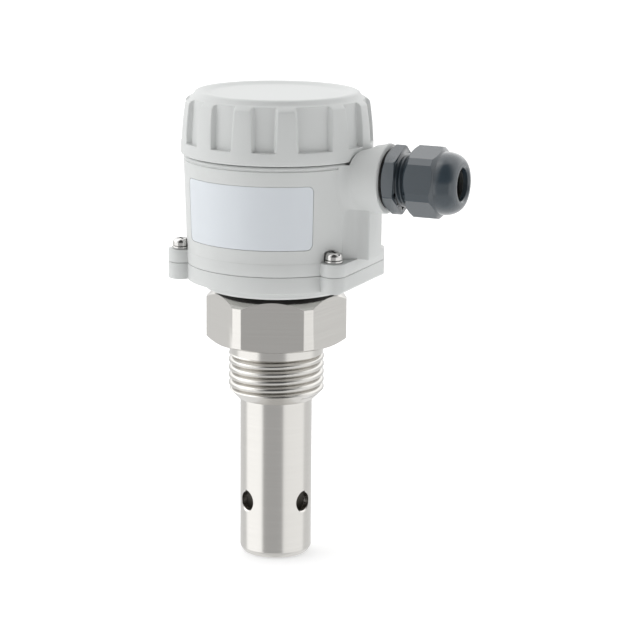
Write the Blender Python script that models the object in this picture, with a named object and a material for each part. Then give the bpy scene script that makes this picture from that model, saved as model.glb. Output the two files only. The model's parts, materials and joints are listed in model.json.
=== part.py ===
# Inductive conductivity sensor: a steel probe tube with ring coils inside, a hexagon process
# fitting with a pipe thread, and a screwed plastic head with a cable gland.
# Metres, +Z up. The origin is on the sensor's axis in the plane of the sealing seat under the
# hexagon. +X is the direction in which the cable gland points.
from math import acos, atan2, cos, pi, radians, sin, sqrt

import bmesh
import bpy
from mathutils import Matrix, Vector

MM = 0.001

# Clearances that the fits below share
CLEAR = 0.3 * MM        # between a piece and the neighbour that it rests on or runs in
SEAT = 0.12 * MM        # between faces that screws clamp together
PRESS = 0.1 * MM        # around what is pressed or bonded in

# Process fitting: hexagon, pipe thread, stub through the base
HEX_FLATS = 43.8 * MM
HEX_CORNERS = 48.6 * MM
HEX_HEIGHT = 18.8 * MM
HEX_TURN = radians(-8.5)
HEX_TOP_CHAMFER = 3.6 * MM
HEX_SEAT_CHAMFER = 1.3 * MM
HEX_SEAT_D = 42.4 * MM
THREAD_D = 33.25 * MM
THREAD_LENGTH = 20.2 * MM
THREAD_END_CHAMFER = 3.3 * MM
THREAD_PITCH = 2.309 * MM
THREAD_DEPTH = 1.3 * MM
THREAD_GROOVES = 5
THREAD_FLAT = 0.4 * MM
RUNOUT_D = 32.6 * MM
RUNOUT_LENGTH = 4.2 * MM
STUB_D = 18.0 * MM
STUB_BORE_D = 12.0 * MM
STUB_CHAMFER = 0.6 * MM

# Probe tube and its cross holes
TUBE_D = 25.0 * MM
TUBE_WALL = 2.0 * MM
TUBE_BELOW_SEAT = 76.0 * MM
TUBE_IN_SOCKET = 12.0 * MM
TUBE_END_CHAMFER = 1.0 * MM
TUBE_END_CHAMFER_HEIGHT = 1.6 * MM
HOLE_D = 6.8 * MM
HOLE_ABOVE_END = 19.5 * MM
HOLE_TURN = radians(-21.0)
HOLE_COUNTERSINK = 0.5 * MM

# Coil carrier in the probe's end
CARRIER_RECESS = 1.2 * MM
FLOW_BORE_D = 7.4 * MM
CARRIER_SKIN = 1.0 * MM
COIL_HEIGHT = 4.2 * MM
SCREEN_THICKNESS = 0.8 * MM
COVER_THICKNESS = 1.6 * MM
CARRIER_ROOF = 1.6 * MM
PLUG_ABOVE_HOLE = 4.7 * MM
PLUG_HEIGHT = 12.0 * MM
LEG_WIDTH = 4.4 * MM
LEG_DEPTH = 3.7 * MM
O_RING_SECTION = 1.8 * MM
O_RING_GROOVE_DEPTH = 1.6 * MM
PLUG_TOP_POCKET_D = 9.0 * MM
PLUG_TOP_POCKET_DEPTH = 3.0 * MM
PROBE_PIN_D = 3.0 * MM
PROBE_PIN_BELOW_PLUG = 6.7 * MM
LEAD_D = 1.0 * MM
CABLE_D = 4.4 * MM

# Base: lip ring, plate with four ears, floor
LIP_GAP = 0.6 * MM
LIP_OVERHANG = 1.1 * MM
LIP_HEIGHT = 3.2 * MM
LIP_CHAMFER = 0.8 * MM
BASE_THICKNESS = 5.6 * MM
BASE_FLOOR = 5.2 * MM
BASE_END_CHAMFER = 1.7 * MM
SCREW_OUTSIDE_WALL = 1.97 * MM
SCREW_AZIMUTH = radians(29.53)
EAR_RADIUS = 4.45 * MM
PLATE_STEP = 0.25 * MM
BASE_GASKET_INSET = 1.95 * MM
BASE_GASKET_WIDTH = 1.6 * MM
BASE_GASKET_HEIGHT = 1.4 * MM
NECK_SEAL_INSET = 0.2 * MM
NECK_SEAL_WIDTH = 1.8 * MM
NECK_SEAL_HEIGHT = 1.5 * MM
NUT_FLATS = 27.0 * MM
NUT_HEIGHT = 4.2 * MM

# Head housing
EAR_THICKNESS = 4.38 * MM
HOUSING_TOP_D = 63.9 * MM
HOUSING_DRAFT = 1.05 * MM
HOUSING_HEIGHT = 32.6 * MM
RIM_GROOVE_BELOW_TOP = 0.85 * MM
RIM_GROOVE = 0.4 * MM
COLLAR_STEP = 2.55 * MM
COLLAR_WALL = 2.0 * MM
COLLAR_HEIGHT = 6.1 * MM
LOWER_WALL = 5.3 * MM
LEDGE_ABOVE_EARS = 9.3 * MM
SCALLOP_RADIUS = 4.3 * MM
SCALLOP_HEIGHT = 6.4 * MM
BLOCK_OUTSIDE_WALL = 4.85 * MM
BLOCK_WIDTH = 11.4 * MM

# Gland boss on the housing
GLAND_BELOW_RIM = 5.7 * MM
BOSS_D = 23.8 * MM
BOSS_OUTSIDE_WALL = 9.65 * MM
PASSAGE_D = 10.0 * MM
PASSAGE_WALL = 1.0 * MM
LID_SWEEP = 0.55 * MM

# Name plate
LABEL_ARC_WIDTH = 49.8 * MM
LABEL_HEIGHT = 21.4 * MM
LABEL_ABOVE_EARS = 4.6 * MM
LABEL_CORNER = 2.0 * MM
LABEL_RECESS = 0.5 * MM
LABEL_THICKNESS = 0.3 * MM
LABEL_AZIMUTH = radians(-88.0)

# Lid
LID_OVERHANG = 0.9 * MM
LID_GAP = 0.4 * MM
LID_HEIGHT = 21.3 * MM
LID_RING_HEIGHT = 4.4 * MM
LID_DRAFT = 1.3 * MM
LID_SHOULDER_DROP = 3.2 * MM
LID_DISC_INSET = 4.15 * MM
LID_DISC_HEIGHT = 1.6 * MM
LID_RIM_WIDTH = 1.7 * MM
LID_DISH_SLOPE = 2.2 * MM
LID_DISH_DEPTH = 0.8 * MM
LID_TOP_THICKNESS = 2.7 * MM
LID_SKIRT = 6.5 * MM
PAD_COUNT = 13
PAD_ANGLE = radians(12.4)
POCKET_ANGLE = radians(14.7)
POCKET_DEPTH = 1.9 * MM
WIDE_POCKET_AZIMUTH = radians(-41.9)
LID_SEAL_WIDTH = 1.1 * MM
LID_SEAL_HEIGHT = 1.8 * MM

# Cable gland, measured from the boss's end face along +X
GLAND_GASKET_THICKNESS = 0.56 * MM
ENTRY_THREAD_D = 18.6 * MM
GLAND_FLATS = 20.4 * MM
GLAND_HEX_WIDTH = 4.5 * MM
CAP_THREAD_D = 17.9 * MM
CAP_THREAD_LENGTH = 10.6 * MM
FINGER_LENGTH = 1.6 * MM
FINGER_D = 15.6 * MM
FINGER_SLOT = 1.2 * MM
GLAND_BORE_D = 13.8 * MM
SEAL_BORE_D = 9.2 * MM
ENTRY_BORE_D = 10.8 * MM
THRUST_RING_THICKNESS = 1.2 * MM
THRUST_RING_WALL = 2.7 * MM
CAP_STANDOFF = 3.7 * MM
CAP_FLATS = 22.4 * MM
CAP_CORNERS = 24.0 * MM
CAP_HEX_WIDTH = 10.7 * MM
CAP_CHAMFER = 1.2 * MM
DOME_D = 21.1 * MM
DOME_LENGTH = 6.7 * MM
CAP_BORE_D = 11.0 * MM
CAP_RIM = 1.1 * MM
CAP_TURN_IN = 1.5 * MM

# Base screws with washers
SCREW_D = 2.8 * MM
SCREW_HEAD_D = 5.8 * MM
SCREW_HEAD_HEIGHT = 2.5 * MM
WASHER_D = 6.2 * MM
WASHER_THICKNESS = 0.8 * MM
CROSS_WIDTH = 0.7 * MM
CROSS_LENGTH = 3.4 * MM
CROSS_DEPTH = 1.2 * MM
SCREW_INTO_BASE = 4.0 * MM

# Circuit board and what stands on it
BOARD_THICKNESS = 1.6 * MM
BOARD_HOLE_D = 7.0 * MM
POST_INSIDE_WALL = 2.0 * MM
POST_RADIUS = 2.9 * MM
POST_HEIGHT = 6.0 * MM
POST_DROP = 0.1 * MM
POST_COUNT = 3
POST_AZIMUTH = radians(90.0)
BOARD_SCREW_D = 1.9 * MM
BOARD_SCREW_HEAD_D = 4.6 * MM
BOARD_SCREW_HEAD_HEIGHT = 1.6 * MM
BOARD_SCREW_LENGTH = 5.0 * MM
TERMINAL_COUNT = 5
TERMINAL_PITCH = 5.0 * MM
TERMINAL_DEPTH = 8.0 * MM
TERMINAL_HEIGHT = 9.0 * MM
TERMINAL_TO_SCREW = 1.14 * MM
WIRE_HOLE = 2.8 * MM
WIRE_HOLE_DEPTH = 5.0 * MM
TERMINAL_SCREW_D = 2.6 * MM
TERMINAL_SCREW_HEIGHT = 1.4 * MM
CHIP_SIZE = 10.0 * MM
CHIP_HEIGHT = 1.6 * MM
CHIP_X = -10.0 * MM
CAPACITOR_D = 6.3 * MM
CAPACITOR_HEIGHT = 7.0 * MM
CAPACITOR_X = -8.0 * MM
CAPACITOR_Y = 13.0 * MM
LEAD_PLUG_SIZE = 7.0 * MM
LEAD_PLUG_HEIGHT = 4.5 * MM

# How finely round pieces are divided
LARGE_STEPS = 44
MEDIUM_STEPS = 26
SMALL_STEPS = 12

# Heights that follow from the sizes above
tube_end = -TUBE_BELOW_SEAT
lip_bottom = HEX_HEIGHT + LIP_GAP
base_bottom = lip_bottom + LIP_HEIGHT
base_top = base_bottom + BASE_THICKNESS
base_floor_top = lip_bottom + BASE_FLOOR
ear_bottom = base_top + SEAT
ear_top = ear_bottom + EAR_THICKNESS
housing_rim = ear_top + HOUSING_HEIGHT
collar_top = housing_rim + COLLAR_HEIGHT
ledge = ear_top + LEDGE_ABOVE_EARS
board_bottom = ledge + CLEAR
board_top = board_bottom + BOARD_THICKNESS
nut_bottom = base_floor_top + CLEAR
stub_top = nut_bottom + NUT_HEIGHT + 2 * MM
lid_bottom = housing_rim + LID_GAP
lid_top = lid_bottom + LID_HEIGHT
gland_z = housing_rim - GLAND_BELOW_RIM
hole_z = tube_end + HOLE_ABOVE_END

# Radii and reaches that follow from the sizes above
housing_top_r = HOUSING_TOP_D / 2
housing_foot_r = housing_top_r - HOUSING_DRAFT
plate_r = housing_foot_r + PLATE_STEP
screw_circle_r = housing_foot_r + SCREW_OUTSIDE_WALL
ear_x = screw_circle_r * cos(SCREW_AZIMUTH)
ear_y = screw_circle_r * sin(SCREW_AZIMUTH)
lower_cavity_r = housing_foot_r - LOWER_WALL
base_gasket_r = plate_r - BASE_GASKET_INSET
collar_r = housing_top_r - COLLAR_STEP
lid_r = housing_top_r + LID_OVERHANG
block_x = housing_top_r + BLOCK_OUTSIDE_WALL
boss_x = housing_top_r + BOSS_OUTSIDE_WALL
post_circle_r = lower_cavity_r - POST_INSIDE_WALL
lip_r = HEX_CORNERS / 2 + LIP_OVERHANG
neck_seal_r = HEX_CORNERS / 2 - HEX_TOP_CHAMFER - NECK_SEAL_INSET
tube_bore_r = TUBE_D / 2 - TUBE_WALL
socket_r = TUBE_D / 2 + PRESS
collar_bore_r = collar_r - COLLAR_WALL
carrier_r = tube_bore_r - CLEAR
screw_hole_r = SCREW_D / 2 + CLEAR
stub_hole_r = STUB_D / 2 + CLEAR

sweep_r = lid_r + LID_SWEEP

# Places along the gland's axis
thread_hole_x = sweep_r + PASSAGE_WALL
flange_x = boss_x + 2 * SEAT + GLAND_GASKET_THICKNESS
flange_end_x = flange_x + GLAND_HEX_WIDTH
thread_end_x = flange_end_x + CAP_THREAD_LENGTH
finger_end_x = thread_end_x + FINGER_LENGTH
cap_x = flange_end_x + CAP_STANDOFF
ring_x = finger_end_x + CAP_TURN_IN + CLEAR
cap_stop_x = ring_x + THRUST_RING_THICKNESS + CLEAR
cap_hex_end_x = cap_x + CAP_HEX_WIDTH
cap_end_x = cap_hex_end_x + DOME_LENGTH

# Corners of the four-screw pattern, counted anticlockwise from +X +Y
screw_points = [(ear_x, ear_y), (-ear_x, ear_y), (-ear_x, -ear_y), (ear_x, -ear_y)]


def clear_scene():
    for obj in list(bpy.data.objects):
        bpy.data.objects.remove(obj, do_unlink=True)


def material(name, colour, roughness, metallic=0.0):
    mat = bpy.data.materials.new(name)
    mat.use_nodes = True
    shader = mat.node_tree.nodes["Principled BSDF"]
    shader.inputs["Base Color"].default_value = (*colour, 1.0)
    shader.inputs["Roughness"].default_value = roughness
    shader.inputs["Metallic"].default_value = metallic
    mat.diffuse_color = (*colour, 1.0)
    return mat


def add_object(name, bm, mat=None):
    """Turn a bmesh into a scene object with outward faces."""
    bmesh.ops.remove_doubles(bm, verts=bm.verts, dist=1e-7)
    bmesh.ops.recalc_face_normals(bm, faces=bm.faces)
    mesh = bpy.data.meshes.new(name)
    bm.to_mesh(mesh)
    bm.free()
    if mat:
        mesh.materials.append(mat)
    obj = bpy.data.objects.new(name, mesh)
    bpy.context.scene.collection.objects.link(obj)
    return obj


def lathe(name, outline, steps, mat=None, angle=2 * pi, start=0.0):
    """Spin a closed outline of (radius, height) points about Z."""
    bm = bmesh.new()
    verts = [bm.verts.new((r, 0.0, z)) for r, z in outline]
    edges = [bm.edges.new((verts[i - 1], verts[i])) for i in range(len(verts))]
    whole = angle >= 2 * pi - 1e-9
    geom = edges + verts
    if not whole:
        geom.append(bm.faces.new(verts))
    bmesh.ops.rotate(bm, verts=verts, cent=(0, 0, 0), matrix=Matrix.Rotation(start, 3, "Z"))
    bmesh.ops.spin(bm, geom=geom, cent=(0, 0, 0), axis=(0, 0, 1), angle=angle, steps=steps,
                   use_merge=whole)
    drop_loose(bm)
    return add_object(name, bm, mat)


def drop_loose(bm):
    """Join the points on the axis and drop the faces that this leaves without area."""
    bmesh.ops.remove_doubles(bm, verts=bm.verts, dist=1e-7)
    bmesh.ops.dissolve_degenerate(bm, edges=bm.edges, dist=1e-7)


def prism(name, outline, low, high, mat=None):
    """Extrude a closed outline of (x, y) points between two heights."""
    bm = bmesh.new()
    face = bm.faces.new([bm.verts.new((x, y, low)) for x, y in outline])
    raised = bmesh.ops.extrude_face_region(bm, geom=[face])
    top = [item for item in raised["geom"] if isinstance(item, bmesh.types.BMVert)]
    bmesh.ops.translate(bm, verts=top, vec=(0, 0, high - low))
    return add_object(name, bm, mat)


def box(name, low, high, mat=None):
    outline = [(low[0], low[1]), (high[0], low[1]), (high[0], high[1]), (low[0], high[1])]
    return prism(name, outline, low[2], high[2], mat)


def rod(name, radius, low, high, steps, mat=None):
    return lathe(name, [(0, low), (radius, low), (radius, high), (0, high)], steps, mat)


def ring(name, inner, outer, low, high, steps, mat=None):
    return lathe(name, [(inner, low), (outer, low), (outer, high), (inner, high)], steps, mat)


def circle(radius, steps, centre=(0.0, 0.0), start=0.0):
    return [(centre[0] + radius * cos(start + 2 * pi * i / steps),
             centre[1] + radius * sin(start + 2 * pi * i / steps)) for i in range(steps)]


def arc(centre, radii, start, end, steps):
    """Points along an ellipse quarter or any other part of an ellipse."""
    return [(centre[0] + radii[0] * cos(start + (end - start) * i / steps),
             centre[1] + radii[1] * sin(start + (end - start) * i / steps))
            for i in range(steps + 1)]


def hexagon(flats, turn=0.0):
    return circle(flats / sqrt(3), 6, start=turn + pi / 6)


def cut(target, tool, operation="DIFFERENCE"):
    """Add a boolean to the target. The tool is a guide that the finished model drops."""
    tool.hide_render = True
    tool.display_type = "WIRE"
    step = target.modifiers.new(tool.name, "BOOLEAN")
    step.operation = operation
    step.solver = "EXACT"
    step.object = tool
    return target


def join(target, tool):
    return cut(target, tool, "UNION")


def common(target, tool):
    return cut(target, tool, "INTERSECT")


def settle(obj, crease=32.0):
    """Apply the modifiers, remove their tools and shade the round faces smooth."""
    tools = [m.object for m in obj.modifiers if m.type == "BOOLEAN"]
    bpy.context.view_layer.update()
    graph = bpy.context.evaluated_depsgraph_get()
    mesh = bpy.data.meshes.new_from_object(obj.evaluated_get(graph), depsgraph=graph)
    mesh.name = obj.name
    obj.modifiers.clear()
    obj.data = mesh
    for tool in tools:
        bpy.data.objects.remove(tool, do_unlink=True)
    mesh.shade_smooth()
    mesh.set_sharp_from_angle(angle=radians(crease))
    return obj


def along_x(obj, height=gland_z):
    """Lay a piece that was made along Z onto the gland's axis, with +Z pointing to +X."""
    obj.location = (0, 0, height)
    obj.rotation_euler = (0, pi / 2, 0)
    return obj


def around(obj, azimuth):
    obj.rotation_euler = (0, 0, azimuth)
    return obj


def plate_outline():
    """Plan of the base and of the housing's ears: a round body with four ears and flat ends."""
    meet = acos((plate_r ** 2 + screw_circle_r ** 2 - EAR_RADIUS ** 2)
                / (2 * plate_r * screw_circle_r))
    meet += SCREW_AZIMUTH
    turn = atan2(plate_r * sin(meet) - ear_y, plate_r * cos(meet) - ear_x)
    quarter = arc((ear_x, ear_y), (EAR_RADIUS, EAR_RADIUS), 0, turn, SMALL_STEPS - 2)
    quarter += arc((0, 0), (plate_r, plate_r), meet, pi / 2, SMALL_STEPS - 5)[1:]
    half = quarter + [(-x, y) for x, y in quarter[-2::-1]]
    return half + [(x, -y) for x, y in half[::-1]]


def housing_radius(z):
    """Outer radius of the drafted housing wall at a height."""
    share = (z - ear_top) / HOUSING_HEIGHT
    return housing_foot_r + share * HOUSING_DRAFT


def curved_plate(name, inner, outer, margin, mat=None):
    """Rounded rectangle wrapped on the housing wall, between two depths from its surface."""
    radius = housing_radius(ear_top + LABEL_ABOVE_EARS + LABEL_HEIGHT / 2)
    half_width = LABEL_ARC_WIDTH / 2 + margin
    half_height = LABEL_HEIGHT / 2 + margin
    middle = ear_top + LABEL_ABOVE_EARS + LABEL_HEIGHT / 2
    corner = LABEL_CORNER + margin
    flat = half_width - corner
    stations = [-half_width + corner * (1 - cos(t * pi / 8)) for t in range(1, 5)]
    stations += [flat * (i - 6) / 6 for i in range(1, 12)]
    stations += [flat + corner * sin(t * pi / 8) for t in range(0, 4)]
    bm = bmesh.new()
    columns = []
    for s in stations:
        over = max(0.0, abs(s) - flat)
        reach = half_height - corner + sqrt(max(corner * corner - over * over, 0.0))
        angle = LABEL_AZIMUTH + s / radius
        column = []
        for z, depth in ((middle - reach, inner), (middle + reach, inner),
                         (middle + reach, outer), (middle - reach, outer)):
            r = housing_radius(z) + depth
            column.append(bm.verts.new((r * cos(angle), r * sin(angle), z)))
        columns.append(column)
    for left, right in zip(columns, columns[1:]):
        for i in range(4):
            j = (i + 1) % 4
            bm.faces.new((left[i], right[i], right[j], left[j]))
    bm.faces.new(columns[0])
    bm.faces.new(columns[-1][::-1])
    return add_object(name, bm, mat)


def thread_outline():
    """The pipe thread as grooves round the fitting, a pitch apart."""
    crest = THREAD_D / 2
    root = crest - THREAD_DEPTH
    first = THREAD_FLAT - THREAD_LENGTH + THREAD_END_CHAMFER
    points = []
    for i in range(THREAD_GROOVES):
        low = first + i * THREAD_PITCH
        high = low + THREAD_PITCH - THREAD_FLAT
        middle = (low + high) / 2
        points += [(crest, low), (root, middle - THREAD_FLAT / 2),
                   (root, middle + THREAD_FLAT / 2), (crest, high)]
    return points


def make_process_fitting(mat):
    outline = [(socket_r, -THREAD_LENGTH),
               (THREAD_D / 2 - THREAD_END_CHAMFER, -THREAD_LENGTH),
               (THREAD_D / 2, -THREAD_LENGTH + THREAD_END_CHAMFER)]
    outline += thread_outline()
    outline += [(THREAD_D / 2, -RUNOUT_LENGTH - 0.4 * MM),
                (RUNOUT_D / 2, -RUNOUT_LENGTH),
                (RUNOUT_D / 2, 0),
                (HEX_SEAT_D / 2, 0),
                (HEX_CORNERS / 2, HEX_SEAT_CHAMFER),
                (HEX_CORNERS / 2, HEX_HEIGHT - HEX_TOP_CHAMFER),
                (HEX_CORNERS / 2 - HEX_TOP_CHAMFER, HEX_HEIGHT),
                (STUB_D / 2, HEX_HEIGHT),
                (STUB_D / 2, stub_top - STUB_CHAMFER),
                (STUB_D / 2 - STUB_CHAMFER, stub_top),
                (STUB_BORE_D / 2, stub_top),
                (STUB_BORE_D / 2, TUBE_IN_SOCKET + CLEAR),
                (socket_r, TUBE_IN_SOCKET + CLEAR)]
    fitting = lathe("process_fitting", outline, LARGE_STEPS, mat)
    flats = prism("hex_tool", hexagon(HEX_FLATS, HEX_TURN), -2 * THREAD_LENGTH, 2 * stub_top)
    return settle(common(fitting, flats))


def make_guard_tube(mat):
    outer = TUBE_D / 2
    outline = [(tube_bore_r, tube_end),
               (outer - TUBE_END_CHAMFER, tube_end),
               (outer, tube_end + TUBE_END_CHAMFER_HEIGHT),
               (outer, TUBE_IN_SOCKET),
               (tube_bore_r, TUBE_IN_SOCKET)]
    tube = lathe("guard_tube", outline, LARGE_STEPS, mat)
    reach = TUBE_D
    drill_outline = [(0, -reach),
                     (HOLE_D / 2 + reach - outer + HOLE_COUNTERSINK, -reach),
                     (HOLE_D / 2, -outer + HOLE_COUNTERSINK),
                     (HOLE_D / 2, outer - HOLE_COUNTERSINK),
                     (HOLE_D / 2 + reach - outer + HOLE_COUNTERSINK, reach),
                     (0, reach)]
    for i in range(2):
        drill = lathe(f"hole_tool_{i}", drill_outline, MEDIUM_STEPS - 6)
        drill.rotation_euler = (0, pi / 2, HOLE_TURN + i * pi / 2)
        drill.location = (0, 0, hole_z)
        cut(tube, drill)
    return settle(tube)


# Levels and radii of the coil carrier, from the tube's end upward
carrier_bottom = tube_end + CARRIER_RECESS
cover_top = carrier_bottom + COVER_THICKNESS
drive_z = cover_top + CLEAR
screen_z = drive_z + COIL_HEIGHT + CLEAR
receive_z = screen_z + SCREEN_THICKNESS + CLEAR
pocket_top = receive_z + COIL_HEIGHT + CLEAR
capsule_top = pocket_top + CARRIER_ROOF
plug_bottom = hole_z + PLUG_ABOVE_HOLE
plug_top = plug_bottom + PLUG_HEIGHT
pocket_inner = FLOW_BORE_D / 2 + CARRIER_SKIN
pocket_outer = carrier_r - CARRIER_SKIN
pin_hole_r = PROBE_PIN_D / 2 + CLEAR
groove_low = (plug_bottom + plug_top - O_RING_SECTION) / 2 - CLEAR
groove_high = groove_low + O_RING_SECTION + 2 * CLEAR
lead_circle_r = (pocket_inner + pocket_outer) / 2 + 0.8 * MM
leg_azimuth = HOLE_TURN + pi / 4
cable_low = plug_top + 6 * MM
plug_z = board_bottom - LEAD_PLUG_HEIGHT - SEAT


def make_coil_carrier(mat):
    capsule = [(FLOW_BORE_D / 2, carrier_bottom), (pocket_inner, carrier_bottom),
               (pocket_inner, pocket_top), (pocket_outer, pocket_top),
               (pocket_outer, carrier_bottom), (carrier_r, carrier_bottom),
               (carrier_r, capsule_top), (FLOW_BORE_D / 2, capsule_top)]
    carrier = lathe("coil_carrier", capsule, MEDIUM_STEPS, mat)
    groove_r = carrier_r - O_RING_GROOVE_DEPTH
    plug = [(pin_hole_r, plug_bottom), (carrier_r, plug_bottom), (carrier_r, groove_low),
            (groove_r, groove_low), (groove_r, groove_high), (carrier_r, groove_high),
            (carrier_r, plug_top), (PLUG_TOP_POCKET_D / 2, plug_top),
            (PLUG_TOP_POCKET_D / 2, plug_top - PLUG_TOP_POCKET_DEPTH),
            (pin_hole_r, plug_top - PLUG_TOP_POCKET_DEPTH)]
    join(carrier, lathe("plug_tool", plug, MEDIUM_STEPS))
    leg_outer = sqrt((carrier_r - 0.1 * MM) ** 2 - (LEG_WIDTH / 2) ** 2)
    for i in range(4):
        leg = box(f"leg_tool_{i}",
                  (leg_outer - LEG_DEPTH, -LEG_WIDTH / 2, capsule_top - CARRIER_ROOF / 2),
                  (leg_outer, LEG_WIDTH / 2, plug_bottom + CARRIER_ROOF / 2))
        join(carrier, around(leg, leg_azimuth + i * pi / 2))
    channel = rod("channel_tool", LEAD_D / 2 + CLEAR, pocket_top - CLEAR, plug_top + CLEAR, 12)
    channel.location = (lead_circle_r * cos(leg_azimuth), lead_circle_r * sin(leg_azimuth), 0)
    cut(carrier, channel)
    return settle(carrier)


def make_coils(core, copper, bonded):
    inner = pocket_inner + CLEAR
    outer = pocket_outer - CLEAR
    rings = [("coil_cover", carrier_bottom, COVER_THICKNESS, bonded, 0.0),
             ("drive_coil", drive_z, COIL_HEIGHT, copper, 0.7 * MM),
             ("screen_ring", screen_z, SCREEN_THICKNESS, core, 0.0),
             ("receive_coil", receive_z, COIL_HEIGHT, copper, 0.7 * MM)]
    for name, low, height, mat, edge in rings:
        high = low + height
        if edge:
            outline = [(inner + edge, low), (outer - edge, low), (outer, low + edge),
                       (outer, high - edge), (outer - edge, high), (inner + edge, high),
                       (inner, high - edge), (inner, low + edge)]
            settle(lathe(name, outline, MEDIUM_STEPS, mat))
        else:
            settle(ring(name, inner, outer, low, high, MEDIUM_STEPS, mat))


def o_ring(name, middle_r, section, low, steps, mat):
    """Round-section ring that stands on a height."""
    outline = circle(section / 2, 8, centre=(middle_r, low + section / 2), start=pi / 8)
    return settle(lathe(name, outline, steps, mat), crease=60.0)


def make_temperature_probe(mat):
    radius = PROBE_PIN_D / 2
    tip = plug_bottom - PROBE_PIN_BELOW_PLUG
    top = plug_top - PLUG_TOP_POCKET_DEPTH + 1.5 * MM
    outline = arc((0, tip + radius), (radius, radius), -pi / 2, 0, 4)
    outline += [(radius, top), (0, top)]
    return settle(lathe("temperature_probe", outline, SMALL_STEPS, mat))


def tube_through(name, points, diameter, mat):
    """Round lead along a smooth line through the points."""
    curve = bpy.data.curves.new(name, "CURVE")
    curve.dimensions = "3D"
    curve.bevel_depth = diameter / 2
    curve.bevel_resolution = 2
    curve.use_fill_caps = True
    line = curve.splines.new("POLY")
    line.points.add(len(points) - 1)
    for point, place in zip(line.points, points):
        point.co = (*place, 1.0)
    curve.materials.append(mat)
    obj = bpy.data.objects.new(name, curve)
    bpy.context.scene.collection.objects.link(obj)
    return obj


def smooth_path(knots, per_span):
    """Catmull-Rom points through the knots."""
    knots = [Vector(k) for k in knots]
    ends = [2 * knots[0] - knots[1]] + knots + [2 * knots[-1] - knots[-2]]
    points = []
    for a, b, c, d in zip(ends, ends[1:], ends[2:], ends[3:]):
        for i in range(per_span):
            t = i / per_span
            points.append(0.5 * (2 * b + (c - a) * t + (2 * a - 5 * b + 4 * c - d) * t * t
                                 + (3 * b - a - 3 * c + d) * t ** 3))
    points.append(knots[-1])
    return points


def make_leads(mat_lead, mat_cable):
    cx = cos(leg_azimuth)
    cy = sin(leg_azimuth)
    knots = [(lead_circle_r * cx, lead_circle_r * cy, pocket_top + CLEAR),
             (lead_circle_r * cx, lead_circle_r * cy, plug_top),
             (lead_circle_r * cx * 0.8, lead_circle_r * cy * 0.8, plug_top + 2.5 * MM),
             (CABLE_D * cx / 5, CABLE_D * cy / 5, cable_low - CLEAR)]
    tube_through("coil_lead", smooth_path(knots, 4), LEAD_D, mat_lead)
    top = plug_z - CLEAR
    sway = STUB_BORE_D / 2 - CABLE_D / 2 - 1.5 * MM
    knots = [(0, 0, cable_low), (0, sway * 0.4, cable_low + (top - cable_low) * 0.25),
             (0, -sway * 0.6, cable_low + (top - cable_low) * 0.55),
             (0, 0, cable_low + (top - cable_low) * 0.85), (0, 0, top)]
    tube_through("sensor_cable", smooth_path(knots, 4), CABLE_D, mat_cable)


def make_base(mat):
    base = prism("base_flange", plate_outline(), base_bottom, base_top, mat)
    lip = [(0, lip_bottom), (lip_r - LIP_CHAMFER, lip_bottom),
           (lip_r, lip_bottom + LIP_CHAMFER),
           (lip_r, base_bottom - LIP_CHAMFER / 2),
           (lip_r + LIP_CHAMFER, base_bottom + LIP_CHAMFER / 2),
           (0, base_bottom + LIP_CHAMFER / 2)]
    join(base, lathe("lip_tool", lip, LARGE_STEPS))
    end_x = ear_x + EAR_RADIUS
    for side in (1, -1):
        wedge = prism(f"end_tool_{side}",
                      [(end_x - 2 * BASE_END_CHAMFER, 0), (end_x + BASE_END_CHAMFER, 0),
                       (end_x + BASE_END_CHAMFER, 3 * BASE_END_CHAMFER)],
                      -2 * ear_y, 2 * ear_y)
        wedge.data.transform(Matrix.Rotation(pi / 2, 4, "X"))
        wedge.location.z = base_bottom - BASE_END_CHAMFER
        if side < 0:
            wedge.rotation_euler.z = pi
        cut(base, wedge)
    cavity = [(0, base_floor_top), (lower_cavity_r, base_floor_top),
              (lower_cavity_r, base_top + LIP_GAP), (0, base_top + LIP_GAP)]
    cut(base, lathe("floor_tool", cavity, LARGE_STEPS))
    cut(base, rod("stub_hole_tool", stub_hole_r, lip_bottom - LIP_GAP, base_top, MEDIUM_STEPS))
    outer = base_gasket_r
    cut(base, ring("gasket_tool", outer - BASE_GASKET_WIDTH - CLEAR, outer + CLEAR,
                   base_top - BASE_GASKET_HEIGHT, base_top + CLEAR, LARGE_STEPS))
    outer = neck_seal_r
    cut(base, ring("neck_tool", outer - NECK_SEAL_WIDTH - CLEAR, outer + CLEAR,
                   lip_bottom - CLEAR, HEX_HEIGHT + NECK_SEAL_HEIGHT + 2 * CLEAR, LARGE_STEPS))
    for i, (x, y) in enumerate(screw_points):
        hole = rod(f"tapped_tool_{i}", screw_hole_r, base_top - SCREW_INTO_BASE - CLEAR,
                   base_top + CLEAR, SMALL_STEPS)
        hole.location = (x, y, 0)
        cut(base, hole)
    return settle(base)


def make_base_seals(rubber):
    outer = base_gasket_r
    settle(ring("base_gasket", outer - BASE_GASKET_WIDTH, outer,
                base_top - BASE_GASKET_HEIGHT + SEAT, base_top, LARGE_STEPS, rubber))
    outer = neck_seal_r
    settle(ring("neck_seal", outer - NECK_SEAL_WIDTH, outer, HEX_HEIGHT + SEAT,
                HEX_HEIGHT + SEAT + NECK_SEAL_HEIGHT, LARGE_STEPS, rubber))


def make_neck_nut(mat):
    high = nut_bottom + NUT_HEIGHT
    corner = NUT_FLATS / sqrt(3) - SEAT
    face_r = NUT_FLATS / 2 - CLEAR
    slope = corner - face_r
    outline = [(stub_hole_r, nut_bottom), (face_r, nut_bottom),
               (corner, nut_bottom + slope / 2), (corner, high - slope / 2),
               (face_r, high), (stub_hole_r, high)]
    nut = lathe("neck_nut", outline, MEDIUM_STEPS, mat)
    flats = prism("nut_tool", hexagon(NUT_FLATS), nut_bottom - CLEAR, high + CLEAR)
    return settle(common(nut, flats))


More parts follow.
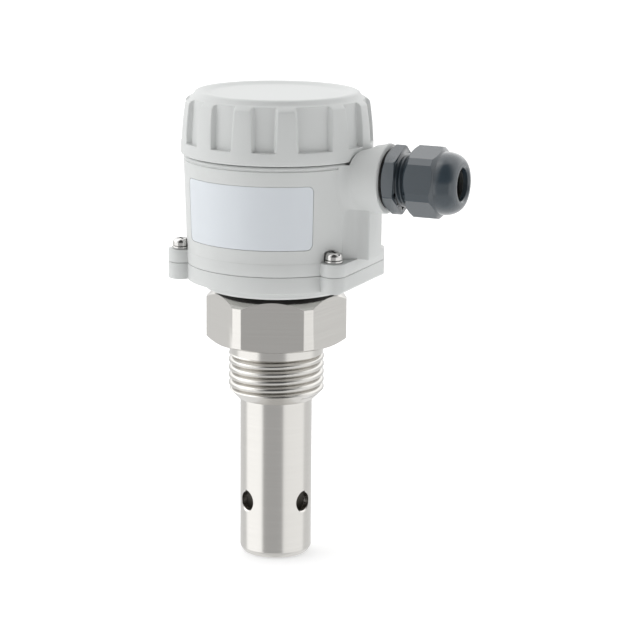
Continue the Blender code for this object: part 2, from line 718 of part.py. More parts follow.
def make_boss():
    """Gland boss, cut back above the rim so that the lid can turn past it."""
    edge = 0.4 * MM
    outline = [(0, lower_cavity_r), (BOSS_D / 2, lower_cavity_r),
               (BOSS_D / 2, boss_x - edge), (BOSS_D / 2 - edge, boss_x), (0, boss_x)]
    boss = along_x(lathe("boss_tool", outline, MEDIUM_STEPS + 6))
    sweep = rod("lid_sweep_tool", sweep_r, housing_rim - CLEAR, lid_top + LID_HEIGHT, LARGE_STEPS)
    return settle(cut(boss, sweep))


def make_housing(mat):
    top_r = housing_top_r
    inside = EAR_THICKNESS / 4
    groove_top = housing_rim - RIM_GROOVE_BELOW_TOP
    outline = [(0, ear_bottom + inside), (housing_foot_r - inside, ear_bottom + inside),
               (housing_foot_r, ear_top),
               (housing_radius(groove_top - 2 * RIM_GROOVE), groove_top - 2 * RIM_GROOVE),
               (top_r - RIM_GROOVE, groove_top - 1.5 * RIM_GROOVE),
               (top_r - RIM_GROOVE, groove_top - RIM_GROOVE / 2),
               (top_r, groove_top), (top_r, housing_rim - RIM_GROOVE),
               (top_r - RIM_GROOVE, housing_rim), (collar_r, housing_rim),
               (collar_r, collar_top - RIM_GROOVE), (collar_r - RIM_GROOVE, collar_top),
               (0, collar_top)]
    housing = lathe("head_housing", outline, LARGE_STEPS, mat)
    for i, (x, y) in enumerate(screw_points):
        dome = ear_top + SCALLOP_HEIGHT - SCALLOP_RADIUS
        outline = [(0, ear_bottom), (SCALLOP_RADIUS, ear_bottom)]
        outline += arc((0, dome), (SCALLOP_RADIUS, SCALLOP_RADIUS), 0, pi / 2, 4)
        scallop = lathe(f"scallop_tool_{i}", outline, SMALL_STEPS + 4)
        scallop.location = (x, y, 0)
        cut(housing, scallop)
    join(housing, prism("ear_tool", plate_outline(), ear_bottom, ear_top))
    join(housing, make_boss())
    join(housing, box("block_tool", (lower_cavity_r, -BLOCK_WIDTH / 2, ear_top - inside / 2),
                      (block_x, BLOCK_WIDTH / 2, gland_z - BOSS_D / 4)))
    for i, (x, y) in enumerate(screw_points):
        hole = rod(f"ear_hole_tool_{i}", screw_hole_r, ear_bottom - CLEAR, ear_top + CLEAR, SMALL_STEPS)
        hole.location = (x, y, 0)
        cut(housing, hole)
    cavity = [(0, ear_bottom - CLEAR), (lower_cavity_r, ear_bottom - CLEAR),
              (lower_cavity_r, ledge), (collar_bore_r, ledge),
              (collar_bore_r, collar_top + CLEAR), (0, collar_top + CLEAR)]
    cut(housing, lathe("cavity_tool", cavity, LARGE_STEPS))
    thread_hole_r = ENTRY_THREAD_D / 2 + CLEAR
    entry = [(0, lower_cavity_r / 2), (PASSAGE_D / 2, lower_cavity_r / 2),
             (PASSAGE_D / 2, thread_hole_x), (thread_hole_r, thread_hole_x),
             (thread_hole_r, boss_x + CLEAR), (0, boss_x + CLEAR)]
    cut(housing, along_x(lathe("entry_tool", entry, MEDIUM_STEPS)))
    cut(housing, curved_plate("label_tool", -LABEL_RECESS, LABEL_RECESS, CLEAR))
    for i in range(POST_COUNT):
        azimuth = POST_AZIMUTH + 2 * pi * i / POST_COUNT
        place = (post_circle_r * cos(azimuth), post_circle_r * sin(azimuth), 0)
        post = rod(f"post_tool_{i}", POST_RADIUS, ledge - POST_HEIGHT, ledge - POST_DROP, SMALL_STEPS + 4)
        post.location = place
        join(housing, post)
        pilot = rod(f"pilot_tool_{i}", BOARD_SCREW_D / 2 + CLEAR,
                    board_top - BOARD_SCREW_LENGTH - CLEAR, ledge + CLEAR, 12)
        pilot.location = place
        cut(housing, pilot)
    return settle(housing)


def make_label(mat):
    outer = -LABEL_RECESS + PRESS + LABEL_THICKNESS
    return settle(curved_plate("label_plate", -LABEL_RECESS + PRESS, outer, 0.0, mat))


def lid_outline():
    """Half section of the lid, pads and all, before the pockets are cut."""
    radius = lid_r
    edge = 0.55 * MM
    ring_top = lid_bottom + LID_RING_HEIGHT
    shoulder_low = lid_top - LID_SHOULDER_DROP - 0.3 * MM
    disc_low = lid_top - LID_DISC_HEIGHT
    disc_r = lid_r - LID_DISC_INSET
    skirt_r = collar_r + CLEAR
    skirt_top = collar_top + CLEAR + 2 * SEAT + CLEAR
    seal_outer = skirt_r - CLEAR
    seal_inner = seal_outer - LID_SEAL_WIDTH - 2 * CLEAR
    seal_top = collar_top + 2 * CLEAR + LID_SEAL_HEIGHT
    inner_r = min(collar_bore_r + 0.2 * MM, seal_inner - 0.4 * MM)
    ceiling = lid_top - LID_DISH_DEPTH - LID_TOP_THICKNESS
    wall_middle = (ring_top + shoulder_low) / 2
    return [(skirt_r, lid_bottom), (radius - edge, lid_bottom), (radius, lid_bottom + edge),
            (radius, ring_top), (radius - 0.35 * LID_DRAFT, wall_middle),
            (radius - LID_DRAFT, shoulder_low), (radius - LID_DRAFT - edge, shoulder_low + edge),
            (disc_r + edge, disc_low - edge / 2), (disc_r, disc_low), (disc_r - edge / 5, lid_top - edge),
            (disc_r - edge, lid_top), (disc_r - edge - LID_RIM_WIDTH, lid_top),
            (disc_r - edge - LID_RIM_WIDTH - LID_DISH_SLOPE, lid_top - LID_DISH_DEPTH),
            (0, lid_top - LID_DISH_DEPTH), (0, ceiling), (inner_r, ceiling), (inner_r, skirt_top),
            (seal_inner, skirt_top), (seal_inner, seal_top), (seal_outer, seal_top),
            (seal_outer, skirt_top), (skirt_r, skirt_top)]


def pocket_centres():
    """Azimuth and width of each pocket: one wide one, the others evenly spaced."""
    step = PAD_ANGLE + POCKET_ANGLE
    wide = 2 * pi - (PAD_COUNT - 1) * step - PAD_ANGLE
    centres = [(WIDE_POCKET_AZIMUTH, wide)]
    first = WIDE_POCKET_AZIMUTH + wide / 2 + PAD_ANGLE + POCKET_ANGLE / 2
    centres += [(first + i * step, POCKET_ANGLE) for i in range(PAD_COUNT - 1)]
    return centres


def make_lid(mat):
    lid = lathe("lid", lid_outline(), LARGE_STEPS, mat)
    low = lid_bottom + LID_RING_HEIGHT
    high = lid_top - LID_DISC_HEIGHT / 2
    floor_low = lid_r - POCKET_DEPTH
    floor_high = floor_low - LID_DRAFT
    outside = lid_r + POCKET_DEPTH
    outline = [(floor_low, low), (outside, low - 0.3 * MM), (outside, high), (floor_high, high)]
    for i, (azimuth, width) in enumerate(pocket_centres()):
        steps = max(2, round(width / radians(7)))
        pocket = lathe(f"pocket_tool_{i}", outline, steps, angle=width, start=azimuth - width / 2)
        cut(lid, pocket)
    return settle(lid)


def make_lid_seal(rubber):
    outer = collar_r - CLEAR
    low = collar_top + CLEAR
    return settle(ring("lid_seal", outer - LID_SEAL_WIDTH, outer, low, low + LID_SEAL_HEIGHT,
                       LARGE_STEPS, rubber))


def make_gland_body(mat):
    corner = GLAND_FLATS / sqrt(3) - SEAT
    entry_r = ENTRY_THREAD_D / 2
    start = thread_hole_x + CLEAR
    edge = 0.5 * MM
    outline = [(ENTRY_BORE_D / 2, start), (entry_r - edge, start), (entry_r, start + edge),
               (entry_r, flange_x), (GLAND_FLATS / 2 - edge / 2, flange_x),
               (corner, flange_x + 2 * edge), (corner, flange_end_x - 2 * edge),
               (GLAND_FLATS / 2 - edge, flange_end_x),
               (CAP_THREAD_D / 2, flange_end_x), (CAP_THREAD_D / 2, thread_end_x - edge),
               (FINGER_D / 2, thread_end_x), (FINGER_D / 2, finger_end_x),
               (GLAND_BORE_D / 2, finger_end_x), (GLAND_BORE_D / 2, flange_end_x + edge),
               (ENTRY_BORE_D / 2, flange_end_x)]
    body = lathe("gland_body", outline, MEDIUM_STEPS, mat)
    flats = prism("gland_hex_tool", hexagon(GLAND_FLATS, pi / 6), start - CLEAR, finger_end_x + CLEAR)
    common(body, flats)
    for i in range(3):
        slot = box(f"slot_tool_{i}", (-FINGER_D, -FINGER_SLOT / 2, thread_end_x - 2 * FINGER_LENGTH),
                   (FINGER_D, FINGER_SLOT / 2, finger_end_x + CLEAR))
        cut(body, around(slot, i * pi / 3))
    return along_x(settle(body))


def make_gland_cap(mat):
    edge = CAP_RIM / 2
    lip_r = CAP_BORE_D / 2 + CAP_RIM
    inner_r = CAP_THREAD_D / 2 + CLEAR
    cone_end = cap_end_x - 2 * CAP_RIM
    dome = arc((lip_r, cap_hex_end_x + edge), (DOME_D / 2 - lip_r, DOME_LENGTH - edge), 0, pi / 2, 7)
    outline = [(inner_r, cap_x), (CAP_FLATS / 2 - CAP_CHAMFER / 2, cap_x),
               (CAP_CORNERS / 2, cap_x + CAP_CHAMFER),
               (CAP_CORNERS / 2, cap_hex_end_x - CAP_CHAMFER), (DOME_D / 2, cap_hex_end_x)]
    outline += dome
    outline += [(CAP_BORE_D / 2 + CAP_RIM / 3, cap_end_x), (CAP_BORE_D / 2, cap_end_x - edge),
                (CAP_BORE_D / 2, cone_end), (inner_r - CLEAR, cap_stop_x), (inner_r, cap_stop_x)]
    cap = lathe("gland_cap", outline, MEDIUM_STEPS, mat)
    flats = prism("cap_hex_tool", hexagon(CAP_FLATS, pi / 6), cap_x - CLEAR, cap_end_x + CLEAR)
    return along_x(settle(common(cap, flats)))


def make_gland_soft_parts(rubber, ring_mat):
    low = boss_x + SEAT
    gasket = ring("gland_gasket", ENTRY_THREAD_D / 2 + CLEAR, GLAND_FLATS / 2 + 0.6 * MM, low,
                  low + GLAND_GASKET_THICKNESS, MEDIUM_STEPS, rubber)
    along_x(settle(gasket))
    seal = ring("gland_seal", SEAL_BORE_D / 2, GLAND_BORE_D / 2 - CLEAR,
                flange_end_x + 2 * CLEAR + 0.5 * MM, finger_end_x - CLEAR, MEDIUM_STEPS, rubber)
    along_x(settle(seal))
    outer = CAP_THREAD_D / 2
    thrust = ring("gland_thrust_ring", outer - THRUST_RING_WALL, outer, ring_x,
                  ring_x + THRUST_RING_THICKNESS, MEDIUM_STEPS, ring_mat)
    along_x(settle(thrust))


def screw_mesh(name, shank_d, head_d, head_height, length, cross, mat):
    """Pan head screw that hangs below its head, with the seat of the head at height 0."""
    shank = shank_d / 2
    head = head_d / 2
    edge = 0.35 * head_height
    outline = [(0, -length), (shank - 0.3 * MM, -length), (shank, -length + 0.3 * MM), (shank, 0),
               (head, 0), (head, edge)]
    outline += arc((head - 0.8 * edge, edge), (0.8 * edge, head_height - edge), pi / 6, pi / 2, 3)
    outline.append((0, head_height))
    screw = lathe(name, outline, SMALL_STEPS, mat)
    width, reach, depth = cross
    for i in range(2):
        blade = box(f"{name}_blade_{i}", (-reach / 2, -width / 2, head_height - depth),
                    (reach / 2, width / 2, head_height + depth))
        cut(screw, around(blade, i * pi / 2 + pi / 4))
    return settle(screw)


def copy_of(obj, name, place):
    twin = bpy.data.objects.new(name, obj.data)
    bpy.context.scene.collection.objects.link(twin)
    twin.location = place
    return twin


def make_base_screws(steel):
    seat = ear_top + 2 * SEAT + WASHER_THICKNESS
    length = seat - base_top + SCREW_INTO_BASE
    screw = screw_mesh("base_screw_1", SCREW_D, SCREW_HEAD_D, SCREW_HEAD_HEIGHT, length,
                       (CROSS_WIDTH, CROSS_LENGTH, CROSS_DEPTH), steel)
    washer = settle(ring("base_washer_1", screw_hole_r, WASHER_D / 2, ear_top + SEAT,
                         ear_top + SEAT + WASHER_THICKNESS, SMALL_STEPS + 4, steel))
    for i, (x, y) in enumerate(screw_points, start=1):
        if i == 1:
            screw.location = (x, y, seat)
            washer.location = (x, y, 0)
        else:
            copy_of(screw, f"base_screw_{i}", (x, y, seat))
            copy_of(washer, f"base_washer_{i}", (x, y, 0))


def make_board(laminate, steel):
    board = rod("circuit_board", collar_bore_r - CLEAR, board_bottom, board_top, LARGE_STEPS, laminate)
    cut(board, rod("board_hole_tool", BOARD_HOLE_D / 2, board_bottom - CLEAR, board_top + CLEAR,
                   SMALL_STEPS))
    first = None
    for i in range(POST_COUNT):
        azimuth = POST_AZIMUTH + 2 * pi * i / POST_COUNT
        place = Vector((post_circle_r * cos(azimuth), post_circle_r * sin(azimuth), 0))
        hole = rod(f"board_fix_tool_{i}", BOARD_SCREW_D / 2 + CLEAR, board_bottom - CLEAR,
                   board_top + CLEAR, 12)
        hole.location = place
        cut(board, hole)
        place.z = board_top + SEAT
        if first is None:
            cross = (0.5 * MM, 2.4 * MM, 0.8 * MM)
            first = screw_mesh("board_screw_1", BOARD_SCREW_D, BOARD_SCREW_HEAD_D,
                               BOARD_SCREW_HEAD_HEIGHT, BOARD_SCREW_LENGTH, cross, steel)
            first.location = place
        else:
            copy_of(first, f"board_screw_{i + 1}", place)
    return settle(board)


def make_terminals(green, steel):
    low = board_top + SEAT
    high = low + TERMINAL_HEIGHT
    width = TERMINAL_COUNT * TERMINAL_PITCH
    screw_x = post_circle_r * cos(pi / 2 - pi / POST_COUNT)
    face_x = screw_x - BOARD_SCREW_HEAD_D / 2 - TERMINAL_TO_SCREW
    middle_x = face_x - TERMINAL_DEPTH / 2
    block = box("terminal_block", (face_x - TERMINAL_DEPTH, -width / 2, low),
                (face_x, width / 2, high), green)
    well = TERMINAL_SCREW_HEIGHT + 0.8 * MM
    first = None
    for i in range(TERMINAL_COUNT):
        y = (i - (TERMINAL_COUNT - 1) / 2) * TERMINAL_PITCH
        wire_z = low + TERMINAL_HEIGHT / 3
        cut(block, box(f"wire_tool_{i}",
                       (face_x - WIRE_HOLE_DEPTH, y - WIRE_HOLE / 2, wire_z - WIRE_HOLE / 2),
                       (face_x + CLEAR, y + WIRE_HOLE / 2, wire_z + WIRE_HOLE / 2)))
        hole = rod(f"well_tool_{i}", TERMINAL_SCREW_D / 2 + CLEAR, high - well, high + CLEAR, 12)
        hole.location = (middle_x, y, 0)
        cut(block, hole)
        place = (middle_x, y, high - well + SEAT)
        if first is None:
            first = rod("terminal_screw_1", TERMINAL_SCREW_D / 2, 0, TERMINAL_SCREW_HEIGHT, 12, steel)
            slot = box("terminal_slot_tool",
                       (-TERMINAL_SCREW_D, -TERMINAL_SCREW_D / 8, TERMINAL_SCREW_HEIGHT / 2),
                       (TERMINAL_SCREW_D, TERMINAL_SCREW_D / 8, 2 * TERMINAL_SCREW_HEIGHT))
            settle(cut(first, slot))
            first.location = place
        else:
            copy_of(first, f"terminal_screw_{i + 1}", place)
    return settle(block)


def make_components(black, aluminium, white):
    low = board_top + SEAT
    half = CHIP_SIZE / 2
    chip = box("signal_chip", (CHIP_X - half, -half, low), (CHIP_X + half, half, low + CHIP_HEIGHT), black)
    settle(chip)
    radius = CAPACITOR_D / 2
    edge = 0.5 * MM
    outline = [(0, low), (radius, low), (radius, low + CAPACITOR_HEIGHT - edge),
               (radius - edge, low + CAPACITOR_HEIGHT), (0, low + CAPACITOR_HEIGHT)]
    can = settle(lathe("storage_capacitor", outline, SMALL_STEPS, aluminium))
    can.location = (CAPACITOR_X, CAPACITOR_Y, 0)
    half = LEAD_PLUG_SIZE / 2
    settle(box("lead_plug", (-half, -half, plug_z), (half, half, plug_z + LEAD_PLUG_HEIGHT), white))


def main():
    clear_scene()
    head_plastic = material("light grey moulded plastic", (0.62, 0.63, 0.63), 0.42)
    label_foil = material("blue white label plate", (0.72, 0.75, 0.80), 0.35)
    steel = material("turned stainless steel", (0.66, 0.65, 0.63), 0.22, 1.0)
    screw_steel = material("bright screw steel", (0.72, 0.72, 0.72), 0.18, 1.0)
    slate = material("slate grey polyamide", (0.10, 0.125, 0.15), 0.38)
    rubber = material("black rubber", (0.02, 0.02, 0.02), 0.6)
    peek = material("beige sensor plastic", (0.55, 0.47, 0.36), 0.45)
    copper = material("copper winding", (0.75, 0.36, 0.20), 0.35, 1.0)
    laminate = material("green circuit laminate", (0.03, 0.22, 0.10), 0.4)
    terminal_plastic = material("green terminal plastic", (0.05, 0.33, 0.16), 0.45)
    chip_resin = material("black chip resin", (0.03, 0.03, 0.035), 0.5)
    can_metal = material("capacitor aluminium", (0.7, 0.71, 0.72), 0.3, 1.0)
    plug_plastic = material("white connector plastic", (0.8, 0.79, 0.75), 0.5)
    lead_jacket = material("red lead insulation", (0.55, 0.05, 0.04), 0.5)
    cable_jacket = material("grey cable jacket", (0.2, 0.2, 0.21), 0.5)

    make_process_fitting(steel)
    make_guard_tube(steel)
    make_coil_carrier(peek)
    make_coils(steel, copper, peek)
    o_ring("probe_o_ring", carrier_r - O_RING_GROOVE_DEPTH + CLEAR + O_RING_SECTION / 2 - 0.2 * MM,
           O_RING_SECTION, groove_low + CLEAR, MEDIUM_STEPS, rubber)
    make_temperature_probe(steel)
    make_leads(lead_jacket, cable_jacket)
    make_base(head_plastic)
    make_base_seals(rubber)
    make_neck_nut(screw_steel)
    make_housing(head_plastic)
    make_label(label_foil)
    make_lid(head_plastic)
    make_lid_seal(rubber)
    make_gland_body(slate)
    make_gland_cap(slate)
    make_gland_soft_parts(rubber, plug_plastic)
    make_base_screws(screw_steel)
    make_board(laminate, screw_steel)
    make_terminals(terminal_plastic, screw_steel)
    make_components(chip_resin, can_metal, plug_plastic)


main()
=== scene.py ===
# %% [markdown]
# # Inductive conductivity sensor
# A steel tube with ring coils in its end hangs from a hexagon process fitting, and a screwed
# plastic head with a cable gland stands on top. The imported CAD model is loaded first: it is
# fixed, it carries the joints, and it says where everything goes. The script then replaces the
# visible pieces by finer ones and gives every piece a finish.

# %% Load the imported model
import json
from math import acos, atan2, cos, degrees, pi, radians, sin, sqrt

import bmesh
import bpy
from mathutils import Matrix, Vector

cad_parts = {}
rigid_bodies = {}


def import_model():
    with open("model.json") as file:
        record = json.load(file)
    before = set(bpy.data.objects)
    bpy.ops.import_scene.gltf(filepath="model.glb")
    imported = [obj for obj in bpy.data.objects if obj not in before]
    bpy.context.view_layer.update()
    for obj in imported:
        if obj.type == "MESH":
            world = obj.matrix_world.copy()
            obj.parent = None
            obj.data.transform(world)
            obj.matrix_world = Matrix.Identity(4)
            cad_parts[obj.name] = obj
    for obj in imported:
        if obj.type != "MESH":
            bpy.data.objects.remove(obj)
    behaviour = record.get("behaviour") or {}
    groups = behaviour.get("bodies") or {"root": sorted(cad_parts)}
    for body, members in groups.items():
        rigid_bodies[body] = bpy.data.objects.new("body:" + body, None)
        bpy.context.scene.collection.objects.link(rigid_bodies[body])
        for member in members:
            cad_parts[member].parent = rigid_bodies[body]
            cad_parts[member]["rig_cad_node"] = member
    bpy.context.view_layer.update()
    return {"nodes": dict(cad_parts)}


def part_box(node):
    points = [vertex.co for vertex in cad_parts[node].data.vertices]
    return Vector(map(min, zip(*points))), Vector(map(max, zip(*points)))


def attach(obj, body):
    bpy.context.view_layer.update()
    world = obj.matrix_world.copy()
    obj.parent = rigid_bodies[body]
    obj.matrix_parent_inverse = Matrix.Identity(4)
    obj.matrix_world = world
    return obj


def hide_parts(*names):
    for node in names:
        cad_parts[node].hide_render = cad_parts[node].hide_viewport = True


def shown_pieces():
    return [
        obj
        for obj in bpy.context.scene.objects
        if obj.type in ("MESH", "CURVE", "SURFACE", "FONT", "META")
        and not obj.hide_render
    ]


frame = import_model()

# %% [markdown]
# ## Sizes that come from the CAD model
# Blender works in metres, and the object is drawn in millimetres, so one constant turns one
# into the other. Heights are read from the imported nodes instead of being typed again: a piece
# made from them sits where the node that it replaces sits.

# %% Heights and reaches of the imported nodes
MM = 0.001


def rest_box(node):
    """Lowest and highest corner of a CAD node, in millimetres."""
    low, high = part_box(node)
    return low / MM, high / MM


tube_end = rest_box("guard_tube")[0].z
fitting_low, fitting_high = rest_box("process_fitting")
base_low, base_high = rest_box("base_flange")
ear_bottom = rest_box("head_housing")[0].z
lid_low, lid_high = rest_box("lid")
cap_low, cap_high = rest_box("gland_cap")
body_low, body_high = rest_box("gland_body")
gland_z = (cap_low.z + cap_high.z) / 2
print("tube end", round(tube_end, 2), "lid top", round(lid_high.z, 2), "gland axis", round(gland_z, 2))

# %% [markdown]
# ## Drawing and turning
# Most pieces of this sensor are turned or moulded round, so their half section says it all. By
# hand that is one point extruded from corner to corner, filled, and spun round the axis. These
# helpers do just that with Blender's own operators. Each starts by deselecting everything,
# because an operator acts on all that is selected.


# %% Helpers for outlines, spinning and booleans
def choose(obj):
    """Leave edit mode and make one object the only selected and the active one."""
    if bpy.context.object and bpy.context.object.mode != "OBJECT":
        bpy.ops.object.mode_set(mode="OBJECT")
    bpy.ops.object.select_all(action="DESELECT")
    if obj:
        obj.select_set(True)
        bpy.context.view_layer.objects.active = obj
    return obj


def pick(obj, kind, test):
    """Select the vertices, edges or faces of the edited mesh that pass a test."""
    bpy.ops.mesh.select_mode(type=kind)
    bpy.ops.mesh.select_all(action="DESELECT")
    mesh = bmesh.from_edit_mesh(obj.data)
    items = {"VERT": mesh.verts, "EDGE": mesh.edges, "FACE": mesh.faces}[kind]
    count = 0
    for item in items:
        if test(item):
            item.select_set(True)
            count += 1
    bmesh.update_edit_mesh(obj.data)
    return count


def draw_outline(name, points, upright=True, rounds=()):
    """Draw a closed outline in mm by extruding a point along it. Rounds are (corner, radius)."""
    places = [Vector((x, 0, y) if upright else (x, y, 0)) * MM for x, y in points]
    choose(None)
    bpy.ops.mesh.primitive_plane_add(size=MM, location=(0, 0, 0))
    obj = bpy.context.object
    obj.name = name
    bpy.ops.object.mode_set(mode="EDIT")
    bpy.ops.mesh.select_mode(type="VERT")
    bpy.ops.mesh.select_all(action="SELECT")
    bpy.ops.mesh.merge(type="CENTER")
    bpy.ops.transform.translate(value=places[0])
    for here, there in zip(places, places[1:]):
        bpy.ops.mesh.extrude_region_move(TRANSFORM_OT_translate={"value": there - here})
    bpy.ops.mesh.select_all(action="SELECT")
    bpy.ops.mesh.edge_face_add()
    for corner, radius in rounds:
        pick(obj, "VERT", lambda v: (v.co - places[corner]).length < 0.001 * MM)
        bpy.ops.mesh.bevel(offset=radius * MM, segments=5, affect="VERTICES")
    return obj


def tidy(obj):
    """Merge the doubles, drop loose edges and turn the faces outwards."""
    bpy.ops.mesh.select_all(action="SELECT")
    bpy.ops.mesh.remove_doubles(threshold=0.0005 * MM)
    bpy.ops.mesh.delete_loose()
    bpy.ops.mesh.select_all(action="SELECT")
    bpy.ops.mesh.normals_make_consistent(inside=False)
    bpy.ops.object.mode_set(mode="OBJECT")
    return obj


def turned(name, points, steps=128, rounds=()):
    """A turned solid: the half section in (radius, height) spun round Z."""
    obj = draw_outline(name, points, rounds=rounds)
    bpy.ops.mesh.select_all(action="SELECT")
    bpy.ops.mesh.delete(type="ONLY_FACE")
    bpy.ops.mesh.select_all(action="SELECT")
    bpy.ops.mesh.spin(steps=steps, angle=2 * pi, center=(0, 0, 0), axis=(0, 0, 1))
    return tidy(obj)


def ring(name, inner, outer, low, high, steps=96, rounds=()):
    """A plain turned ring between two heights, or a rod where the inner radius is 0."""
    return turned(name, [(inner, low), (outer, low), (outer, high), (inner, high)], steps, rounds)


def raised(name, points, low, high, rounds=()):
    """A plate: an outline in (x, y) pulled up from one height to another."""
    obj = draw_outline(name, points, upright=False, rounds=rounds)
    bpy.ops.mesh.select_all(action="SELECT")
    bpy.ops.transform.translate(value=(0, 0, low * MM))
    bpy.ops.mesh.extrude_region_move(TRANSFORM_OT_translate={"value": (0, 0, (high - low) * MM)})
    return tidy(obj)


def block(name, low, high):
    """A box between two corners in mm, from a cube that is moved and stretched."""
    low, high = Vector(low), Vector(high)
    choose(None)
    bpy.ops.mesh.primitive_cube_add(size=MM, location=(low + high) * MM / 2)
    obj = bpy.context.object
    obj.name = name
    obj.scale = high - low
    return place(obj)


def place(obj, shift=(0, 0, 0), turn=(0, 0, 0)):
    """Turn an object by degrees, move it by mm, and put both into its mesh."""
    choose(obj)
    obj.location += Vector(shift) * MM
    obj.rotation_euler = [radians(a) for a in turn]
    bpy.ops.object.transform_apply(location=True, rotation=True, scale=True)
    return obj


def combine(obj, tool, how="DIFFERENCE"):
    """Cut with, add or keep what is common with a tool, which is used up."""
    step = obj.modifiers.new(tool.name, "BOOLEAN")
    step.operation = how
    step.solver = "EXACT"
    step.object = tool
    choose(obj)
    bpy.ops.object.modifier_apply(modifier=step.name)
    bpy.data.objects.remove(tool)
    return obj


def soften(obj, width, steps=3, angle=35):
    """Round the edges that are sharper than an angle."""
    choose(obj)
    step = obj.modifiers.new("soft edges", "BEVEL")
    step.width = width * MM
    step.segments = steps
    step.angle_limit = radians(angle)
    bpy.ops.object.modifier_apply(modifier=step.name)
    return obj


def spread(obj, name, shift=(0, 0, 0), turn=(0, 0, 0)):
    """A copy with its own mesh, moved and turned."""
    choose(obj)
    bpy.ops.object.duplicate()
    twin = bpy.context.object
    twin.name = name
    return place(twin, shift, turn)


def along_gland(obj):
    """Lay a piece that was made along Z on the gland's axis."""
    return place(obj, shift=(0, 0, gland_z), turn=(0, 90, 0))


print("helpers ready")

# %% [markdown]
# ## Finishes
# A finish starts from what the real material is and how its surface was made. One function
# turns the sRGB hex values of a colour chart into the linear numbers that Blender mixes with,
# and one adds a node with its settings and links. Patterns read Object coordinates, so they are
# as large on the piece as their millimetres say.


# %% Helpers for finishes
def linear(code):
    """An sRGB hex colour as linear red, green, blue and alpha."""
    parts = [int(code[i:i + 2], 16) / 255 for i in (1, 3, 5)]
    return (*[c / 12.92 if c <= 0.04045 else ((c + 0.055) / 1.055) ** 2.4 for c in parts], 1.0)


def node(tree, kind, settings=None, links=None):
    """Add one node, set its sockets and options, and link its inputs."""
    made = tree.nodes.new(kind)
    for key, value in (settings or {}).items():
        if isinstance(key, int) or key in made.inputs:
            made.inputs[key].default_value = value
        else:
            setattr(made, key, value)
    for key, source in (links or {}).items():
        tree.links.new(source, made.inputs[key])
    return made


def per_mm(size):
    """The texture scale that makes a pattern's feature this many millimetres wide."""
    return 1 / (size * MM)


def new_finish(name, **sockets):
    """A material with its shader's own sockets set. Underscores stand for spaces."""
    finish = bpy.data.materials.new(name)
    finish.use_nodes = True
    shader = finish.node_tree.nodes["Principled BSDF"]
    for key, value in sockets.items():
        shader.inputs[key.replace("_", " ")].default_value = value
    return finish, finish.node_tree, shader


def mottled(tree, shader, dark, light, size, low, high, bump_size, bump_depth, edge=0.0):
    """Slight cloudiness in colour and gloss, a fine surface relief, and soft edges."""
    where = node(tree, "ShaderNodeTexCoord").outputs["Object"]
    cloud = node(tree, "ShaderNodeTexNoise", {"Scale": per_mm(size), "Detail": 3.0},
                 {"Vector": where})
    tint = node(tree, "ShaderNodeMix", {"data_type": "RGBA", 6: linear(dark), 7: linear(light)},
                {0: cloud.outputs["Fac"]})
    tree.links.new(tint.outputs[2], shader.inputs["Base Color"])
    gloss = node(tree, "ShaderNodeMapRange", {"To Min": low, "To Max": high},
                 {"Value": cloud.outputs["Fac"]})
    tree.links.new(gloss.outputs["Result"], shader.inputs["Roughness"])
    grain = node(tree, "ShaderNodeTexNoise", {"Scale": per_mm(bump_size), "Detail": 2.0},
                 {"Vector": where})
    relief = node(tree, "ShaderNodeBump", {"Strength": 1.0, "Distance": bump_depth * MM},
                  {"Height": grain.outputs["Fac"]})
    if edge:
        rounding = node(tree, "ShaderNodeBevel", {"samples": 6, "Radius": edge * MM})
        tree.links.new(rounding.outputs["Normal"], relief.inputs["Normal"])
    tree.links.new(relief.outputs["Normal"], shader.inputs["Normal"])


def settle(obj, body, finish, slot, *nodes, crease=35):
    """Shade a finished piece, give it its finish and let it ride on its body."""
    choose(obj)
    bpy.ops.object.shade_smooth_by_angle(angle=radians(crease))
    obj.data.materials.clear()
    obj.data.materials.append(finish)
    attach(obj, body)
    if nodes:
        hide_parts(*nodes)
    print(f"{obj.name}: {len(obj.data.polygons)} faces")
    return obj


print("white is", linear("#ffffff")[:3])

# %% [markdown]
# ## Camera
# The photograph looks slightly down at the sensor from a good distance, so the long lens keeps
# the tube's sides nearly parallel. The camera leans by half a degree, as the picture does. It
# comes first, because every later choice is judged through it.

# %% Camera at the photograph's angle
camera_data = bpy.data.cameras.new("camera")
camera_data.lens = 129.04
camera_data.sensor_width = 36.0
camera_data.clip_end = 60.0
camera = bpy.data.objects.new("camera", camera_data)
bpy.context.scene.collection.objects.link(camera)
aim = Vector((13.8, 6.14, 7.0)) * MM
camera.location = Vector((329.6, -703.2, 184.8)) * MM
lean = Matrix.Rotation(radians(0.5), 4, "Z")
facing = (aim - camera.location).to_track_quat("-Z", "Y").to_matrix().to_4x4()
camera.rotation_euler = (facing @ lean).to_euler()
bpy.context.scene.camera = camera
print("camera distance in mm:", round((camera.location - aim).length / MM))

# %% [markdown]
# ## Turned stainless steel
# The tube and the fitting are austenitic stainless steel, turned on a lathe. The tool leaves
# fine rings round the axis, which stretch each reflection along the axis: anisotropy round Z
# gives that. The real feed is about 0.1 mm, too fine to show, so the rings are drawn at 0.5 mm.

